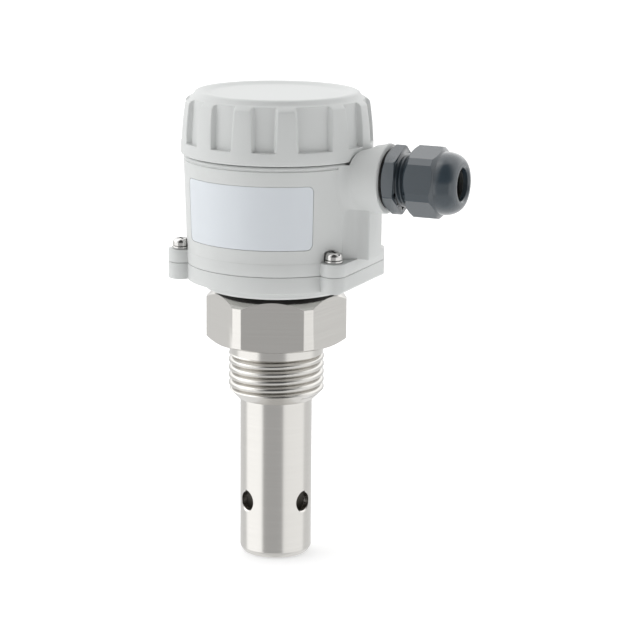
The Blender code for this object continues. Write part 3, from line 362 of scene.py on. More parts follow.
# %% Turned stainless steel
steel, tree, shader = new_finish("stainless steel, turned", Metallic=1.0, Anisotropic=0.55)
where = node(tree, "ShaderNodeTexCoord").outputs["Object"]
rings = node(tree, "ShaderNodeTexNoise", {"Scale": 1.0, "Detail": 2.0},
             {"Vector": node(tree, "ShaderNodeMapping",
                             {"Scale": (20.0, 20.0, per_mm(0.5))}, {"Vector": where}).outputs[0]})
tone = node(tree, "ShaderNodeMix", {"data_type": "RGBA", 6: linear("#cfcdc9"), 7: linear("#d8d6d2")},
            {0: rings.outputs["Fac"]})
tree.links.new(tone.outputs[2], shader.inputs["Base Color"])
gloss = node(tree, "ShaderNodeMapRange", {"To Min": 0.15, "To Max": 0.20},
             {"Value": rings.outputs["Fac"]})
tree.links.new(gloss.outputs["Result"], shader.inputs["Roughness"])
around = node(tree, "ShaderNodeTangent", {"direction_type": "RADIAL", "axis": "Z"})
tree.links.new(around.outputs["Tangent"], shader.inputs["Tangent"])
relief = node(tree, "ShaderNodeBump", {"Strength": 1.0, "Distance": 0.001 * MM},
              {"Height": rings.outputs["Fac"]})
tree.links.new(relief.outputs["Normal"], shader.inputs["Normal"])
print(steel.name)

# %% [markdown]
# ## Probe tube
# A plain tube with a turned chamfer at its end and four cross holes, each with a small
# countersink that catches the light. It is spun from its section, and the holes are two drills
# pushed right through, as on the real one: each drill makes two holes. Seen from the camera the
# holes lie some 53 degrees to the left and to the right.

# %% Probe tube with its cross holes
TUBE_R, TUBE_BORE_R, TUBE_TOP = 12.5, 10.5, 12
HOLE_R, HOLE_ABOVE_END, HOLE_AZIMUTHS = 3.4, 19.5, (-119.7, -14.1)
hole_z = tube_end + HOLE_ABOVE_END
tube = turned("turned_probe_tube",
              [(TUBE_BORE_R, tube_end), (TUBE_R - 1, tube_end), (TUBE_R, tube_end + 1.6),
               (TUBE_R, hole_z - 6), (TUBE_R, hole_z + 6), (TUBE_R, -24), (TUBE_R, TUBE_TOP),
               (TUBE_BORE_R, TUBE_TOP)], steps=160, rounds=[(2, 0.5), (1, 0.25)])
for turn in HOLE_AZIMUTHS:
    drill = turned("drill", [(0, -25), (HOLE_R + 13, -25), (HOLE_R, -12), (HOLE_R, 12),
                             (HOLE_R + 13, 25), (0, 25)], steps=64)
    combine(tube, place(drill, shift=(0, 0, hole_z), turn=(0, 90, turn)))
settle(tube, "sensor", steel, "steel", "guard_tube")

# %% [markdown]
# ## Process fitting
# One piece of bar: a hexagon for the spanner, a plain collar and a pipe thread. Chamfering a
# hexagon on the lathe leaves curved lines where the cone meets the flats, so the hexagon is a
# six-sided bar cut down by a turned envelope. The thread is a real helix: one tooth is drawn
# and wound by the Screw modifier. Its crests are broad and round and its grooves narrow, and it
# is turned about its axis until the crests in front lie as high as in the photograph.


# %% Helper that winds a thread
def wound_thread(name, root, crest, pitch, low, high, blunt=2.0, steps=96):
    """A helical thread with rounded crests between two heights, closed by a flat at each end."""
    shares = [0, 0.05, 0.1, 0.17, 0.26, 0.38, 0.5, 0.62, 0.74, 0.83, 0.9, 0.95, 1]
    tooth = [(crest - (crest - root) * abs(2 * share - 1) ** blunt, share) for share in shares]
    turns = int((high - low) / pitch) + 4
    start = low - 2 * pitch
    obj = draw_outline(name, [(r, start + share * pitch) for r, share in tooth])
    bpy.ops.mesh.delete(type="ONLY_FACE")
    pick(obj, "EDGE", lambda e: abs(e.verts[0].co.z - e.verts[1].co.z) > 0.99 * pitch * MM)
    bpy.ops.mesh.delete(type="EDGE")
    bpy.ops.object.mode_set(mode="OBJECT")
    step = obj.modifiers.new("wind", "SCREW")
    step.axis = "Z"
    step.screw_offset = pitch * MM
    step.steps = step.render_steps = steps
    step.iterations = turns
    step.use_merge_vertices = True
    step.merge_threshold = 0.001 * MM
    choose(obj)
    bpy.ops.object.modifier_apply(modifier=step.name)
    bpy.ops.object.mode_set(mode="EDIT")
    for height, side in ((low, 1), (high, -1)):
        bpy.ops.mesh.select_all(action="SELECT")
        bpy.ops.mesh.bisect(plane_co=(0, 0, height * MM), plane_no=(0, 0, side), use_fill=True,
                            clear_inner=True)
    return tidy(obj)


# %% Hexagon, collar and pipe thread
HEX_FLATS, HEX_CORNER_R, HEX_TOP, HEX_AZIMUTH = 43.8, 24.3, 18.8, -8.5
COLLAR_R, STUB_R = 16.3, 9
CREST_R, ROOT_R, PITCH, THREAD_LOW, THREAD_AZIMUTH = 16.625, 15.2, 2.75, -20.2, 86
choose(None)
bpy.ops.mesh.primitive_cylinder_add(vertices=6, radius=HEX_FLATS / sqrt(3) * MM, depth=80 * MM)
fitting = place(bpy.context.object, turn=(0, 0, HEX_AZIMUTH))
fitting.name = "threaded_hexagon_fitting"
envelope = turned("envelope",
                  [(0, -4.3), (COLLAR_R - 0.3, -4.3), (COLLAR_R, -4.0), (COLLAR_R, 0), (21.2, 0),
                   (HEX_CORNER_R, 1.3), (HEX_CORNER_R, HEX_TOP - 3.6), (20.7, HEX_TOP),
                   (STUB_R, HEX_TOP), (STUB_R, fitting_high.z - 0.6),
                   (STUB_R - 0.6, fitting_high.z), (0, fitting_high.z)], steps=192)
combine(fitting, envelope, "INTERSECT")
thread = place(wound_thread("thread", ROOT_R, CREST_R, PITCH, THREAD_LOW, -3.6, blunt=2.4),
               turn=(0, 0, THREAD_AZIMUTH))
limit = turned("limit", [(0, THREAD_LOW), (CREST_R - 3.3, THREAD_LOW), (CREST_R, THREAD_LOW + 3.3),
                         (CREST_R, -4.7), (16.25, -4.0), (16.25, -3.9), (0, -3.9)], steps=128)
combine(thread, limit, "INTERSECT")
combine(fitting, thread, "UNION")
bore = turned("bore", [(0, -21), (12.6, -21), (12.6, 12.3), (6, 12.3), (6, 40), (0, 40)], steps=96)
combine(fitting, bore)
settle(fitting, "sensor", steel, "steel", "process_fitting", crease=28)

# %% [markdown]
# ## Moulded grey plastic
# The head is moulded in a glass-filled light grey engineering plastic. The steel mould was
# spark eroded, which leaves a dull, very fine grit. The grit is about 0.05 mm; it is drawn at
# 0.35 mm so that it breaks the highlights at this distance. Moulded edges are never knife
# sharp, so the Bevel node rounds the shading over the last 0.25 mm.

# %% Light grey plastic
head_plastic, tree, shader = new_finish("PBT plastic, moulded light grey", IOR=1.5)
mottled(tree, shader, "#cbcdcc", "#d0d2d1", 14.0, 0.36, 0.42, 0.35, 0.010, edge=0.25)
print(head_plastic.name)

# %% [markdown]
# ## Base
# The base is a plate with four ears for the screws, two flat ends, and a lip that overhangs the
# hexagon. Its plan is a circle that runs into the ears' circles, so the outline is drawn once
# in a quarter and mirrored by arithmetic; the housing's ears use the same plan.


# %% Plan of the base and the ears
EAR_X, EAR_Y, EAR_R, PLATE_R = 28.6, 16.2, 4.45, 31.15


def arc(centre, radii, start, end, steps):
    """Points along part of an ellipse, angles in radians."""
    return [(centre[0] + radii[0] * cos(start + (end - start) * i / steps),
             centre[1] + radii[1] * sin(start + (end - start) * i / steps))
            for i in range(steps + 1)]


reach = sqrt(EAR_X ** 2 + EAR_Y ** 2)
meet = acos((PLATE_R ** 2 + reach ** 2 - EAR_R ** 2) / (2 * PLATE_R * reach)) + atan2(EAR_Y, EAR_X)
turn_off = atan2(PLATE_R * sin(meet) - EAR_Y, PLATE_R * cos(meet) - EAR_X)
quarter = arc((EAR_X, EAR_Y), (EAR_R, EAR_R), 0, turn_off, 18)
quarter += arc((0, 0), (PLATE_R, PLATE_R), meet, pi / 2, 24)[1:]
half = quarter + [(-x, y) for x, y in quarter[-2::-1]]
plate_plan = half + [(x, -y) for x, y in half[::-1]]
screw_places = [(EAR_X, EAR_Y), (-EAR_X, EAR_Y), (-EAR_X, -EAR_Y), (EAR_X, -EAR_Y)]
print("plan points:", len(plate_plan), "ear meets plate at", round(degrees(meet), 1), "degrees")

# %% Base plate with its lip
LIP_R, LIP_HEIGHT, EAR_EDGE = 25.4, 3.2, 0.2
ROOM_R, FLOOR_HEIGHT, STUB_HOLE_R, SCREW_HOLE_R = 25.6, 5.2, 9.3, 1.7
plate_low, plate_top = base_low.z + LIP_HEIGHT, base_high.z
base = soften(raised("moulded_base", plate_plan, plate_low, plate_top), EAR_EDGE)
lip = turned("lip", [(0, base_low.z), (LIP_R - 0.8, base_low.z), (LIP_R, base_low.z + 0.8),
                     (LIP_R, plate_low - 0.5), (LIP_R + 0.5, plate_low + 0.3),
                     (0, plate_low + 0.3)], steps=160)
combine(base, lip, "UNION")
for side in (1, -1):
    wedge = raised("wedge", [(side * (EAR_X + EAR_R - 2.1), plate_low - 1),
                             (side * (EAR_X + EAR_R + 1), plate_low - 1),
                             (side * (EAR_X + EAR_R + 1), plate_low + 2.1)], -40, 40)
    combine(base, place(wedge, turn=(90, 0, 0)))
combine(base, ring("cavity", 0, ROOM_R, base_low.z + FLOOR_HEIGHT, plate_top + 1))
combine(base, ring("stub_hole", 0, STUB_HOLE_R, base_low.z - 1, plate_top, steps=64))
combine(base, ring("gasket_groove", 27.3, 29.5, plate_top - 1.4, plate_top + 1))
combine(base, ring("neck_groove", 18.4, 20.8, base_low.z - 1, base_low.z + 1.5))
for x, y in screw_places:
    hole = ring("hole", 0, SCREW_HOLE_R, plate_top - 4.3, plate_top + 1, steps=24)
    combine(base, place(hole, shift=(x, y, 0)))
settle(base, "sensor", head_plastic, "head_plastic", "base_flange")

# %% [markdown]
# ## Head housing
# A cup with a drafted wall, a fine groove under its rim and a collar that the lid screws over.
# Ears like the base's stand out at the foot with a half-round relief behind each screw for the
# screwdriver. At +X a boss carries the gland, and the pillar under it widens toward the wall.

# %% Housing cup
EAR_HEIGHT, WALL_HEIGHT, COLLAR_HEIGHT = 4.38, 32.6, 6.1
FOOT_R, TOP_R, NECK_R = 30.9, 31.95, 29.4
SCALLOP_R = 3.3
ear_top = ear_bottom + EAR_HEIGHT
rim = ear_top + WALL_HEIGHT
collar_top = rim + COLLAR_HEIGHT


def wall_radius(z):
    """Outer radius of the drafted wall at a height."""
    return FOOT_R + (TOP_R - FOOT_R) * (z - ear_top) / (rim - ear_top)


housing = turned("moulded_head_housing",
                 [(0, ear_bottom + 1.1), (31.0, ear_bottom + 1.1), (31.1, ear_top - 0.3),
                  (FOOT_R + 0.04, ear_top + 1.2),
                  (wall_radius(ear_top + 12), ear_top + 12), (wall_radius(rim - 12), rim - 12),
                  (wall_radius(rim - 1.65), rim - 1.65), (TOP_R - 0.4, rim - 1.45),
                  (TOP_R - 0.4, rim - 1.05), (TOP_R, rim - 0.85), (TOP_R, rim - 0.4),
                  (TOP_R - 0.4, rim), (NECK_R, rim), (NECK_R, collar_top - 0.4),
                  (NECK_R - 0.4, collar_top), (0, collar_top)], steps=192)
for x, y in screw_places:
    relief_tool = turned("scallop", [(0, ear_bottom), (SCALLOP_R, ear_bottom)]
                         + arc((0, ear_top + 2.8), (SCALLOP_R, 1.3), 0, pi / 2, 10), steps=48)
    combine(housing, place(relief_tool, shift=(x, y, 0)))
ears = soften(raised("ears", plate_plan, ear_bottom, ear_top), EAR_EDGE)
combine(housing, ears, "UNION")
print("housing cup:", len(housing.data.polygons), "faces")

# %% [markdown]
# ## Gland boss
# The boss runs into the wall with a soft fillet. A boolean alone gives a hard line there, so the
# fillet is worked out as the path of a ball that rolls round the boss and touches the wall. The
# ball's radius is 4.6 mm below and shrinks toward the rim, and each section of the ring is the
# arc between the two points of contact.


# %% Boss, fillet and pillar
def rolled_fillet(name, boss_r, full_ball, columns=96, steps=8):
    """Closed ring that fills the corner between the wall and the boss along +X."""
    shape = bmesh.new()
    rows = []
    for k in range(columns):
        t = 2 * pi * k / columns
        ball = full_ball * (1 - 0.75 * max(0.0, sin(t)) ** 2)
        y = (boss_r + ball) * cos(t)
        z = gland_z + (boss_r + ball) * sin(t)
        wall = wall_radius(min(z, rim))
        x = sqrt((wall + ball) ** 2 - y ** 2)
        share = wall / (wall + ball)
        centre = Vector((x, y, z))
        on_wall = Vector((x * share, y * share, z))
        on_boss = Vector((x, boss_r * cos(t), gland_z + boss_r * sin(t)))
        first, last = (on_wall - centre).normalized(), (on_boss - centre).normalized()
        line = [centre + ball * first.slerp(last, i / steps) for i in range(steps + 1)]
        inward = Vector((0, boss_r * cos(t), boss_r * sin(t))) * 0.9 + Vector((0, 0, gland_z))
        line.append(inward + Vector((x, 0, 0)))
        line.append(inward + Vector((on_wall.x * 0.96, 0, 0)))
        line.append(Vector((on_wall.x * 0.96, on_wall.y * 0.96, on_wall.z)))
        rows.append([shape.verts.new(p * MM) for p in line])
    for this, that in zip(rows, rows[1:] + rows[:1]):
        for i in range(len(this)):
            j = (i + 1) % len(this)
            shape.faces.new((this[i], this[j], that[j], that[i]))
    bmesh.ops.recalc_face_normals(shape, faces=shape.faces)
    mesh = bpy.data.meshes.new(name)
    shape.to_mesh(mesh)
    shape.free()
    obj = bpy.data.objects.new(name, mesh)
    bpy.context.scene.collection.objects.link(obj)
    return obj


def lid_path():
    """The room that the turning lid needs above the rim, with a round shoulder on the boss."""
    return turned("lid_path",
                  [(0, rim - 0.3), (33.4, rim - 0.3), (33.45, 67), (33.8, 68.4), (34.8, 69.5),
                   (36.6, 70.0), (38.6, 70.4), (40.4, 71.3), (41, 71.7), (41, 80), (0, 80)],
                  steps=160)


BOSS_R, BOSS_END, FILLET_BALL = 11.9, 41.6, 4.6
boss = along_gland(ring("boss", 0, BOSS_R, 24.0, BOSS_END, rounds=[(2, 0.5)]))
combine(boss, lid_path())
combine(housing, boss, "UNION")
flank = [(29.2, 10.8), (31.0, 8.7), (32.6, 7.0), (34.4, 6.0), (36.8, 5.7)]
pillar_plan = [(24, 10.8)] + flank + [(x, -y) for x, y in flank[::-1]] + [(24, -10.8)]
pillar = soften(raised("pillar", pillar_plan, ear_top - 0.5, gland_z - 8), 0.5)
combine(housing, pillar, "UNION")
fillet = combine(rolled_fillet("fillet", BOSS_R, FILLET_BALL), lid_path())
print("fillet:", len(fillet.data.polygons), "faces")

# %% Holes, cavity and label recess
BOARD_LEDGE, UPPER_ROOM_R = 42.0, 27.4
combine(housing, turned("cup_room", [(0, ear_bottom - 1), (ROOM_R, ear_bottom - 1),
                                     (ROOM_R, BOARD_LEDGE), (UPPER_ROOM_R, BOARD_LEDGE),
                                     (UPPER_ROOM_R, collar_top + 1), (0, collar_top + 1)],
                        steps=160))
combine(housing, along_gland(turned("entry", [(0, 12), (5, 12), (5, 34.4), (9.6, 34.4),
                                              (9.6, 43), (0, 43)], steps=64)))
for x, y in screw_places:
    hole = ring("hole", 0, SCREW_HOLE_R, ear_bottom - 1, ear_top + 1, steps=24)
    combine(housing, place(hole, shift=(x, y, 0)))
print("housing with its holes:", len(housing.data.polygons), "faces")


# %% Name plate shape
LABEL_LOW, LABEL_HIGH = ear_top + 4.6, ear_top + 26.0
LABEL_ARC, LABEL_AZIMUTH = 49.8, -88


def wrapped_plate(name, inner, outer, margin):
    """Rounded plate bent onto the housing wall, between two depths from the wall's surface."""
    middle = (LABEL_LOW + LABEL_HIGH) / 2
    half_w, corner = LABEL_ARC / 2 + margin, 2.0 + margin
    half_h = (LABEL_HIGH - LABEL_LOW) / 2 + margin
    plan = []
    for sx, sy, start in ((1, 1, 0), (-1, 1, 90), (-1, -1, 180), (1, -1, 270)):
        plan += arc((sx * (half_w - corner), sy * (half_h - corner)), (corner, corner),
                    radians(start), radians(start + 90), 8)
    obj = raised(name, plan, 0, outer - inner)
    bpy.ops.object.mode_set(mode="EDIT")
    for k in range(-23, 24):
        bpy.ops.mesh.select_all(action="SELECT")
        bpy.ops.mesh.bisect(plane_co=(k * 1.05 * MM, 0, 0), plane_no=(1, 0, 0))
    bpy.ops.object.mode_set(mode="OBJECT")
    radius = wall_radius(middle)
    for v in obj.data.vertices:
        s, h, depth = v.co / MM
        angle = radians(LABEL_AZIMUTH) + s / radius
        r = wall_radius(middle + h) + inner + depth
        v.co = Vector((r * cos(angle), r * sin(angle), middle + h)) * MM
    return obj


combine(housing, wrapped_plate("label_recess", -0.5, 0.6, 0.12))

# %% Board posts and the finished housing
POST_CIRCLE_R, POST_R, PILOT_R = 23.6, 2.9, 1.25
for k in range(3):
    angle = radians(90 + 120 * k)
    post_place = (POST_CIRCLE_R * cos(angle), POST_CIRCLE_R * sin(angle), 0)
    post = ring("post", 0, POST_R, 36.0, BOARD_LEDGE - 0.1, steps=32)
    combine(housing, place(post, shift=post_place), "UNION")
    pilot = ring("pilot", 0, PILOT_R, 38.6, BOARD_LEDGE + 1, steps=24)
    combine(housing, place(pilot, shift=post_place))
choose(housing)
fillet.select_set(True)
bpy.ops.object.join()
settle(housing, "sensor", head_plastic, "head_plastic", "head_housing")

# %% [markdown]
# ## Name plate
# A thin bluish white plate is glued into a shallow recess. It carries no text here. The finish
# is a satin lacquered film: smoother than the moulded wall round it, with a faint coat.

# %% Name plate
label_film, tree, shader = new_finish("polyester film, satin lacquered", Coat_Weight=0.15,
                                      Coat_Roughness=0.25)
mottled(tree, shader, "#d2d7dc", "#d7dce1", 30.0, 0.30, 0.36, 0.6, 0.001)
label = wrapped_plate("blank_name_plate", -0.4, -0.06, 0.0)
settle(label, "sensor", label_film, "label", "label_plate")

# %% [markdown]
# ## Lid
# The lid is a drafted cap with a plain ring at its foot, thirteen grip pads and a dished top
# with a raised rim. It is spun in one go, but pad by pad and pocket by pocket, so that columns
# of faces end exactly at each pad's edge. The pocket faces are then extruded and sunk.

# %% Lid blank, spun in pads and pockets
PAD, POCKET = 12.4, 14.7
WIDE = 360 - 12 * (PAD + POCKET) - PAD
DISH_DEPTH = 0.9
low, top = lid_low.z, lid_high.z
side_points = [(32.85, low + 4.4), (32.62, low + 7.8), (32.4, low + 11.1), (31.98, low + 14.5),
               (31.55, top - 3.5), (31.0, top - 2.95)]
shoulder = [(29.79, top - 2.2), (29.25, top - 1.87), (28.7, top - 1.6), (27.8, top), (25.5, top)]
dish = [(r, top - DISH_DEPTH) for r in (22.9, 18, 9, 0)]
inside = [(0, top - 3.5), (27.3, top - 3.5), (27.3, low + 6.54), (27.7, low + 6.54),
          (27.7, low + 8.1), (29.4, low + 8.1), (29.4, low + 6.54), (29.7, low + 6.54)]
section = [(29.7, low), (32.85, low)] + side_points + shoulder + dish + inside
lid = draw_outline("screwed_lid", section, rounds=[(1, 0.55), (11, 0.8), (12, 0.9), (13, 1.0)])
bpy.ops.mesh.select_all(action="SELECT")
bpy.ops.mesh.delete(type="ONLY_FACE")
bpy.ops.mesh.select_all(action="SELECT")
slices = [(WIDE, 12)] + [(PAD, 6), (POCKET, 8)] * 12 + [(PAD, 6)]
for angle, steps in slices:
    bpy.ops.mesh.spin(steps=steps, angle=radians(angle), center=(0, 0, 0), axis=(0, 0, 1),
                      use_auto_merge=False)
tidy(lid)
print("lid blank:", len(lid.data.polygons), "faces")
azimuths = sorted({round(degrees(atan2(v.co.y, v.co.x)) % 360, 1) for v in lid.data.vertices
                   if v.co.x ** 2 + v.co.y ** 2 > (30 * MM) ** 2})
print("columns:", len(azimuths), azimuths[:16])

# %% Pockets sunk between the pads
pockets, at = [], 0.0
for angle, steps in slices:
    if angle != PAD:
        pockets.append((at, at + angle))
    at += angle
spin_way = 1 if any(abs(a - WIDE) < 0.2 for a in azimuths) else -1


def azimuth(co):
    return (spin_way * degrees(atan2(co.y, co.x))) % 360


def in_pocket(face):
    centre = face.calc_center_median()
    a = azimuth(centre)
    return (low + 4.4 < centre.z / MM < top - 2.2 and centre.xy.length > 29.9 * MM
            and any(start < a < end for start, end in pockets))


choose(lid)
bpy.ops.object.mode_set(mode="EDIT")
print("pocket faces:", pick(lid, "FACE", in_pocket))
bpy.ops.mesh.extrude_region_move()
mesh = bmesh.from_edit_mesh(lid.data)
sunk = {v.index for v in mesh.verts if v.select}
POCKET_R, POCKET_DRAFT, POCKET_HEIGHT = 30.95, 1.3, 16.1
pad_foot, pad_head = side_points[0][1], side_points[4][1]
for radius, height in side_points:
    pocket_r = POCKET_R - POCKET_DRAFT * (height - pad_foot) / POCKET_HEIGHT
    taper = -0.22 + (height - pad_foot) / (pad_head - pad_foot)
    for side in (0, 1):
        ends = [pocket[side] for pocket in pockets]
        sign = (1 if side == 0 else -1) * spin_way

        def at_edge(v, deep):
            near = any(abs((azimuth(v.co) - e + 180) % 360 - 180) < 0.3 for e in ends)
            return (near and abs(v.co.z / MM - height) < 0.05 and (v.index in sunk) == deep
                    and v.co.xy.length > 29.9 * MM)

        for deep, slant in ((False, 0.0), (True, 1.1)):
            pick(lid, "VERT", lambda v: at_edge(v, deep))
            bpy.ops.transform.rotate(value=-radians(sign * (slant - taper)), orient_axis="Z",
                                     center_override=(0, 0, 0))
    pick(lid, "VERT", lambda v: v.index in sunk and abs(v.co.z / MM - height) < 0.05)
    bpy.ops.transform.resize(value=(pocket_r / radius, pocket_r / radius, 1),
                             center_override=(0, 0, 0))
bpy.ops.mesh.select_all(action="SELECT")
bpy.ops.mesh.remove_doubles(threshold=0.001 * MM)
bpy.ops.mesh.normals_make_consistent(inside=False)


# %% Soft edges on the pads
def pad_edge(edge):
    heights_here = [v.co.z / MM for v in edge.verts]
    radii = [v.co.xy.length / MM for v in edge.verts]
    return (min(heights_here) > low + 4.3 and max(heights_here) < top - 2.9
            and min(radii) > 29.7 and len(edge.link_faces) == 2
            and edge.calc_face_angle() > radians(25))


print("pad edges:", pick(lid, "EDGE", pad_edge))
bpy.ops.mesh.bevel(offset=0.32 * MM, segments=3, affect="EDGES")
tidy(lid)
WIDE_AZIMUTH = -41.9
place(lid, turn=(0, 0, WIDE_AZIMUTH - WIDE / 2 * spin_way))
settle(lid, "lid_cover", head_plastic, "head_plastic", "lid", crease=40)

# %% [markdown]
# ## Slate polyamide
# Cable glands are moulded in polyamide, here coloured slate grey. The mould is polished, so it
# shines more than the head and its flats mirror the room softly.

# %% Slate polyamide
slate, tree, shader = new_finish("polyamide, moulded slate grey", IOR=1.53, Coat_Weight=0.8,
                                 Coat_Roughness=0.09)
mottled(tree, shader, "#2f3a42", "#333e46", 9.0, 0.20, 0.25, 0.5, 0.0006, edge=0.2)
print(slate.name)


# %% [markdown]
# ## Cable gland
# The gland is two pieces: a body with a spanner flange and a thread, and a cap nut whose domed
# mouth squeezes the rubber seal. Both start as a six-sided bar cut by a turned envelope, and a
# second bar flattens the nut's corners. A few turns of the body's 1.5 mm thread stay visible
# between the flange and the nut.


# %% Gland body
NUT_TURN, FLANGE_TURN = 18.3, 23


def hexagon_bar(name, flats, low, high, angle):
    """A six-sided bar along Z, turned by an angle so that a flat faces the camera on the gland."""
    choose(None)
    bpy.ops.mesh.primitive_cylinder_add(vertices=6, radius=flats / sqrt(3) * MM,
                                        depth=(high - low) * MM,
                                        location=(0, 0, (low + high) / 2 * MM))
    bpy.context.object.name = name
    return place(bpy.context.object, turn=(0, 0, angle))


FLANGE_FLATS, FLANGE_R, SHANK_R = 20.4, 11.66, 9.3
flange_x, flange_end, thread_end = 42.4, 46.9, 57.5
gland = hexagon_bar("gland_body_flange", FLANGE_FLATS, flange_x - 1, flange_end + 1, FLANGE_TURN)
combine(gland, turned("envelope", [(0, flange_x), (9.9, flange_x), (FLANGE_R, flange_x + 1.0),
                                   (FLANGE_R, flange_end - 0.3), (11.4, flange_end),
                                   (0, flange_end)], steps=96), "INTERSECT")
combine(gland, turned("shank", [(0, body_low.x), (SHANK_R - 0.5, body_low.x),
                                (SHANK_R, body_low.x + 0.5), (SHANK_R, flange_x + 0.2),
                                (0, flange_x + 0.2)], steps=96), "UNION")
screw_part = wound_thread("thread", 8.15, 8.95, 1.5, flange_end - 0.2, thread_end)
fingers = ring("fingers", 0, 7.8, thread_end - 0.1, body_high.x, steps=64)
combine(screw_part, fingers, "UNION")
combine(gland, screw_part, "UNION")
combine(gland, turned("bore", [(0, 30), (5.4, 30), (5.4, flange_end), (6.9, flange_end + 0.5),
                               (6.9, 61), (0, 61)], steps=64))
for k in range(3):
    slot_tool = block("slot", (-12, -0.6, thread_end - 3.2), (12, 0.6, 61))
    combine(gland, place(slot_tool, turn=(0, 0, 60 * k)))
settle(along_gland(gland), "sensor", slate, "slate_plastic", "gland_body", crease=28)

# %% Cap nut
NUT_FLATS, NUT_OVER_CORNERS, NUT_R, DOME_R = 22.1, 24.0, 12.1, 10.55
cap_x, hex_end, cap_end = cap_low.x, cap_low.x + 10.7, cap_high.x
cap = hexagon_bar("gland_cap_nut", NUT_FLATS, cap_x - 1, hex_end + 1, NUT_TURN)
combine(cap, hexagon_bar("corner_cut", NUT_OVER_CORNERS, cap_x - 1, hex_end + 1, NUT_TURN + 30),
        "INTERSECT")
combine(cap, turned("envelope", [(0, cap_x), (10.7, cap_x), (NUT_R, cap_x + 1.3),
                                 (NUT_R, hex_end - 1.3), (10.4, hex_end), (0, hex_end)],
                    steps=96), "INTERSECT")
dome = [(0, hex_end - 0.3), (DOME_R, hex_end - 0.3), (DOME_R, hex_end + 0.55)]
dome += arc((6.6, hex_end + 0.55), (3.95, cap_end - hex_end - 0.55), 0, pi / 2, 16)[1:]
dome += [(0, cap_end)]
combine(cap, turned("dome", dome, steps=96), "UNION")
combine(cap, turned("mouth", [(0, cap_x - 1), (9.25, cap_x - 1), (9.25, 62.4), (5.5, 65.8),
                              (5.5, 67.4), (6.1, cap_end), (6.3, cap_end + 1), (0, cap_end + 1)],
                    steps=96))
settle(along_gland(cap), "cap_nut", slate, "slate_plastic", "gland_cap", crease=28)

# %% [markdown]
# ## Base screws and washers
# Pan head screws with a cross recess, in bright stainless steel. One is turned and cut, then
# copied three times; each copy has its own mesh, because each is a piece of its own.

# %% Bright screw steel
bright, tree, shader = new_finish("stainless steel, cold headed and tumbled", Metallic=1.0)
mottled(tree, shader, "#c9c8c6", "#d2d1cf", 1.2, 0.07, 0.12, 0.25, 0.0005)
print(bright.name)

# %% Screws and washers
HEAD_R, HEAD_HEIGHT, SCREW_R = 2.9, 2.5, 1.4
seat = rest_box("base_washer_1")[1].z + 0.12
head = [(0, seat), (HEAD_R, seat), (HEAD_R, seat + 0.9)]
head += arc((1.6, seat + 0.9), (1.3, 1.6), 0, pi / 2, 8)[1:] + [(0, seat + HEAD_HEIGHT)]
shank_low = rest_box("base_screw_1")[0].z
first = turned("base_screw_with_cross_1", head, steps=64, rounds=[(1, 0.2)])
combine(first, turned("shank", [(0, shank_low), (SCREW_R - 0.3, shank_low),
                                (SCREW_R, shank_low + 0.3), (SCREW_R, seat + 0.2),
                                (0, seat + 0.2)], steps=24), "UNION")
for k in range(2):
    blade = block("blade", (-1.7, -0.35, seat + 1.3), (1.7, 0.35, seat + 4))
    combine(first, place(blade, turn=(0, 0, 45 + 90 * k)))
washer_low = rest_box("base_washer_1")[0].z
washer = ring("base_screw_washer_1", SCREW_HOLE_R, 3.1, washer_low, washer_low + 0.8, steps=64,
              rounds=[(1, 0.18), (2, 0.18)])
screws = [first] + [spread(first, f"base_screw_with_cross_{k}") for k in (2, 3, 4)]
washers = [washer] + [spread(washer, f"base_screw_washer_{k}") for k in (2, 3, 4)]
for k, (x, y) in enumerate(screw_places):
    place(screws[k], shift=(x, y, 0))
    place(washers[k], shift=(x, y, 0))
    settle(screws[k], "sensor", bright, "bright_steel", f"base_screw_{k + 1}")
    settle(washers[k], "sensor", bright, "bright_steel", f"base_washer_{k + 1}")

# %% [markdown]
# ## Finishes of the pieces that keep their CAD shape
# The inner seals, the coils and the parts inside the head are rarely seen, and their CAD shape
# is right. They stay, and only get a finish each, again from the real material; the coil
# carrier's beige PEEK is also darkened, as painted shade for the dim inside of the tube.

# %% Rubber, PEEK with painted shade, copper and the parts on the board
rubber, tree, shader = new_finish("EPDM rubber, moulded", IOR=1.52)
mottled(tree, shader, "#151516", "#1e1e1f", 2.0, 0.55, 0.70, 0.3, 0.006)

# The PEEK colour is darker than real beige PEEK: painted shade for the dim inside of the tube, seen
# through the cross holes.
sensor_plastic, tree, shader = new_finish("PEEK, machined, darkened with painted shade", IOR=1.6)
mottled(tree, shader, "#6c675e", "#767066", 5.0, 0.38, 0.48, 0.4, 0.004)

copper, tree, shader = new_finish("enamelled copper wire, wound", Metallic=1.0)
where = node(tree, "ShaderNodeTexCoord").outputs["Object"]
turns = node(tree, "ShaderNodeTexWave", {"wave_type": "BANDS", "bands_direction": "Z",
                                         "Scale": per_mm(0.35) / 20}, {"Vector": where})
tone = node(tree, "ShaderNodeMix", {"data_type": "RGBA", 6: linear("#7c3f22"), 7: linear("#c87a4a")},
            {0: turns.outputs["Fac"]})
tree.links.new(tone.outputs[2], shader.inputs["Base Color"])
shader.inputs["Roughness"].default_value = 0.3
relief = node(tree, "ShaderNodeBump", {"Distance": 0.1 * MM}, {"Height": turns.outputs["Fac"]})
tree.links.new(relief.outputs["Normal"], shader.inputs["Normal"])

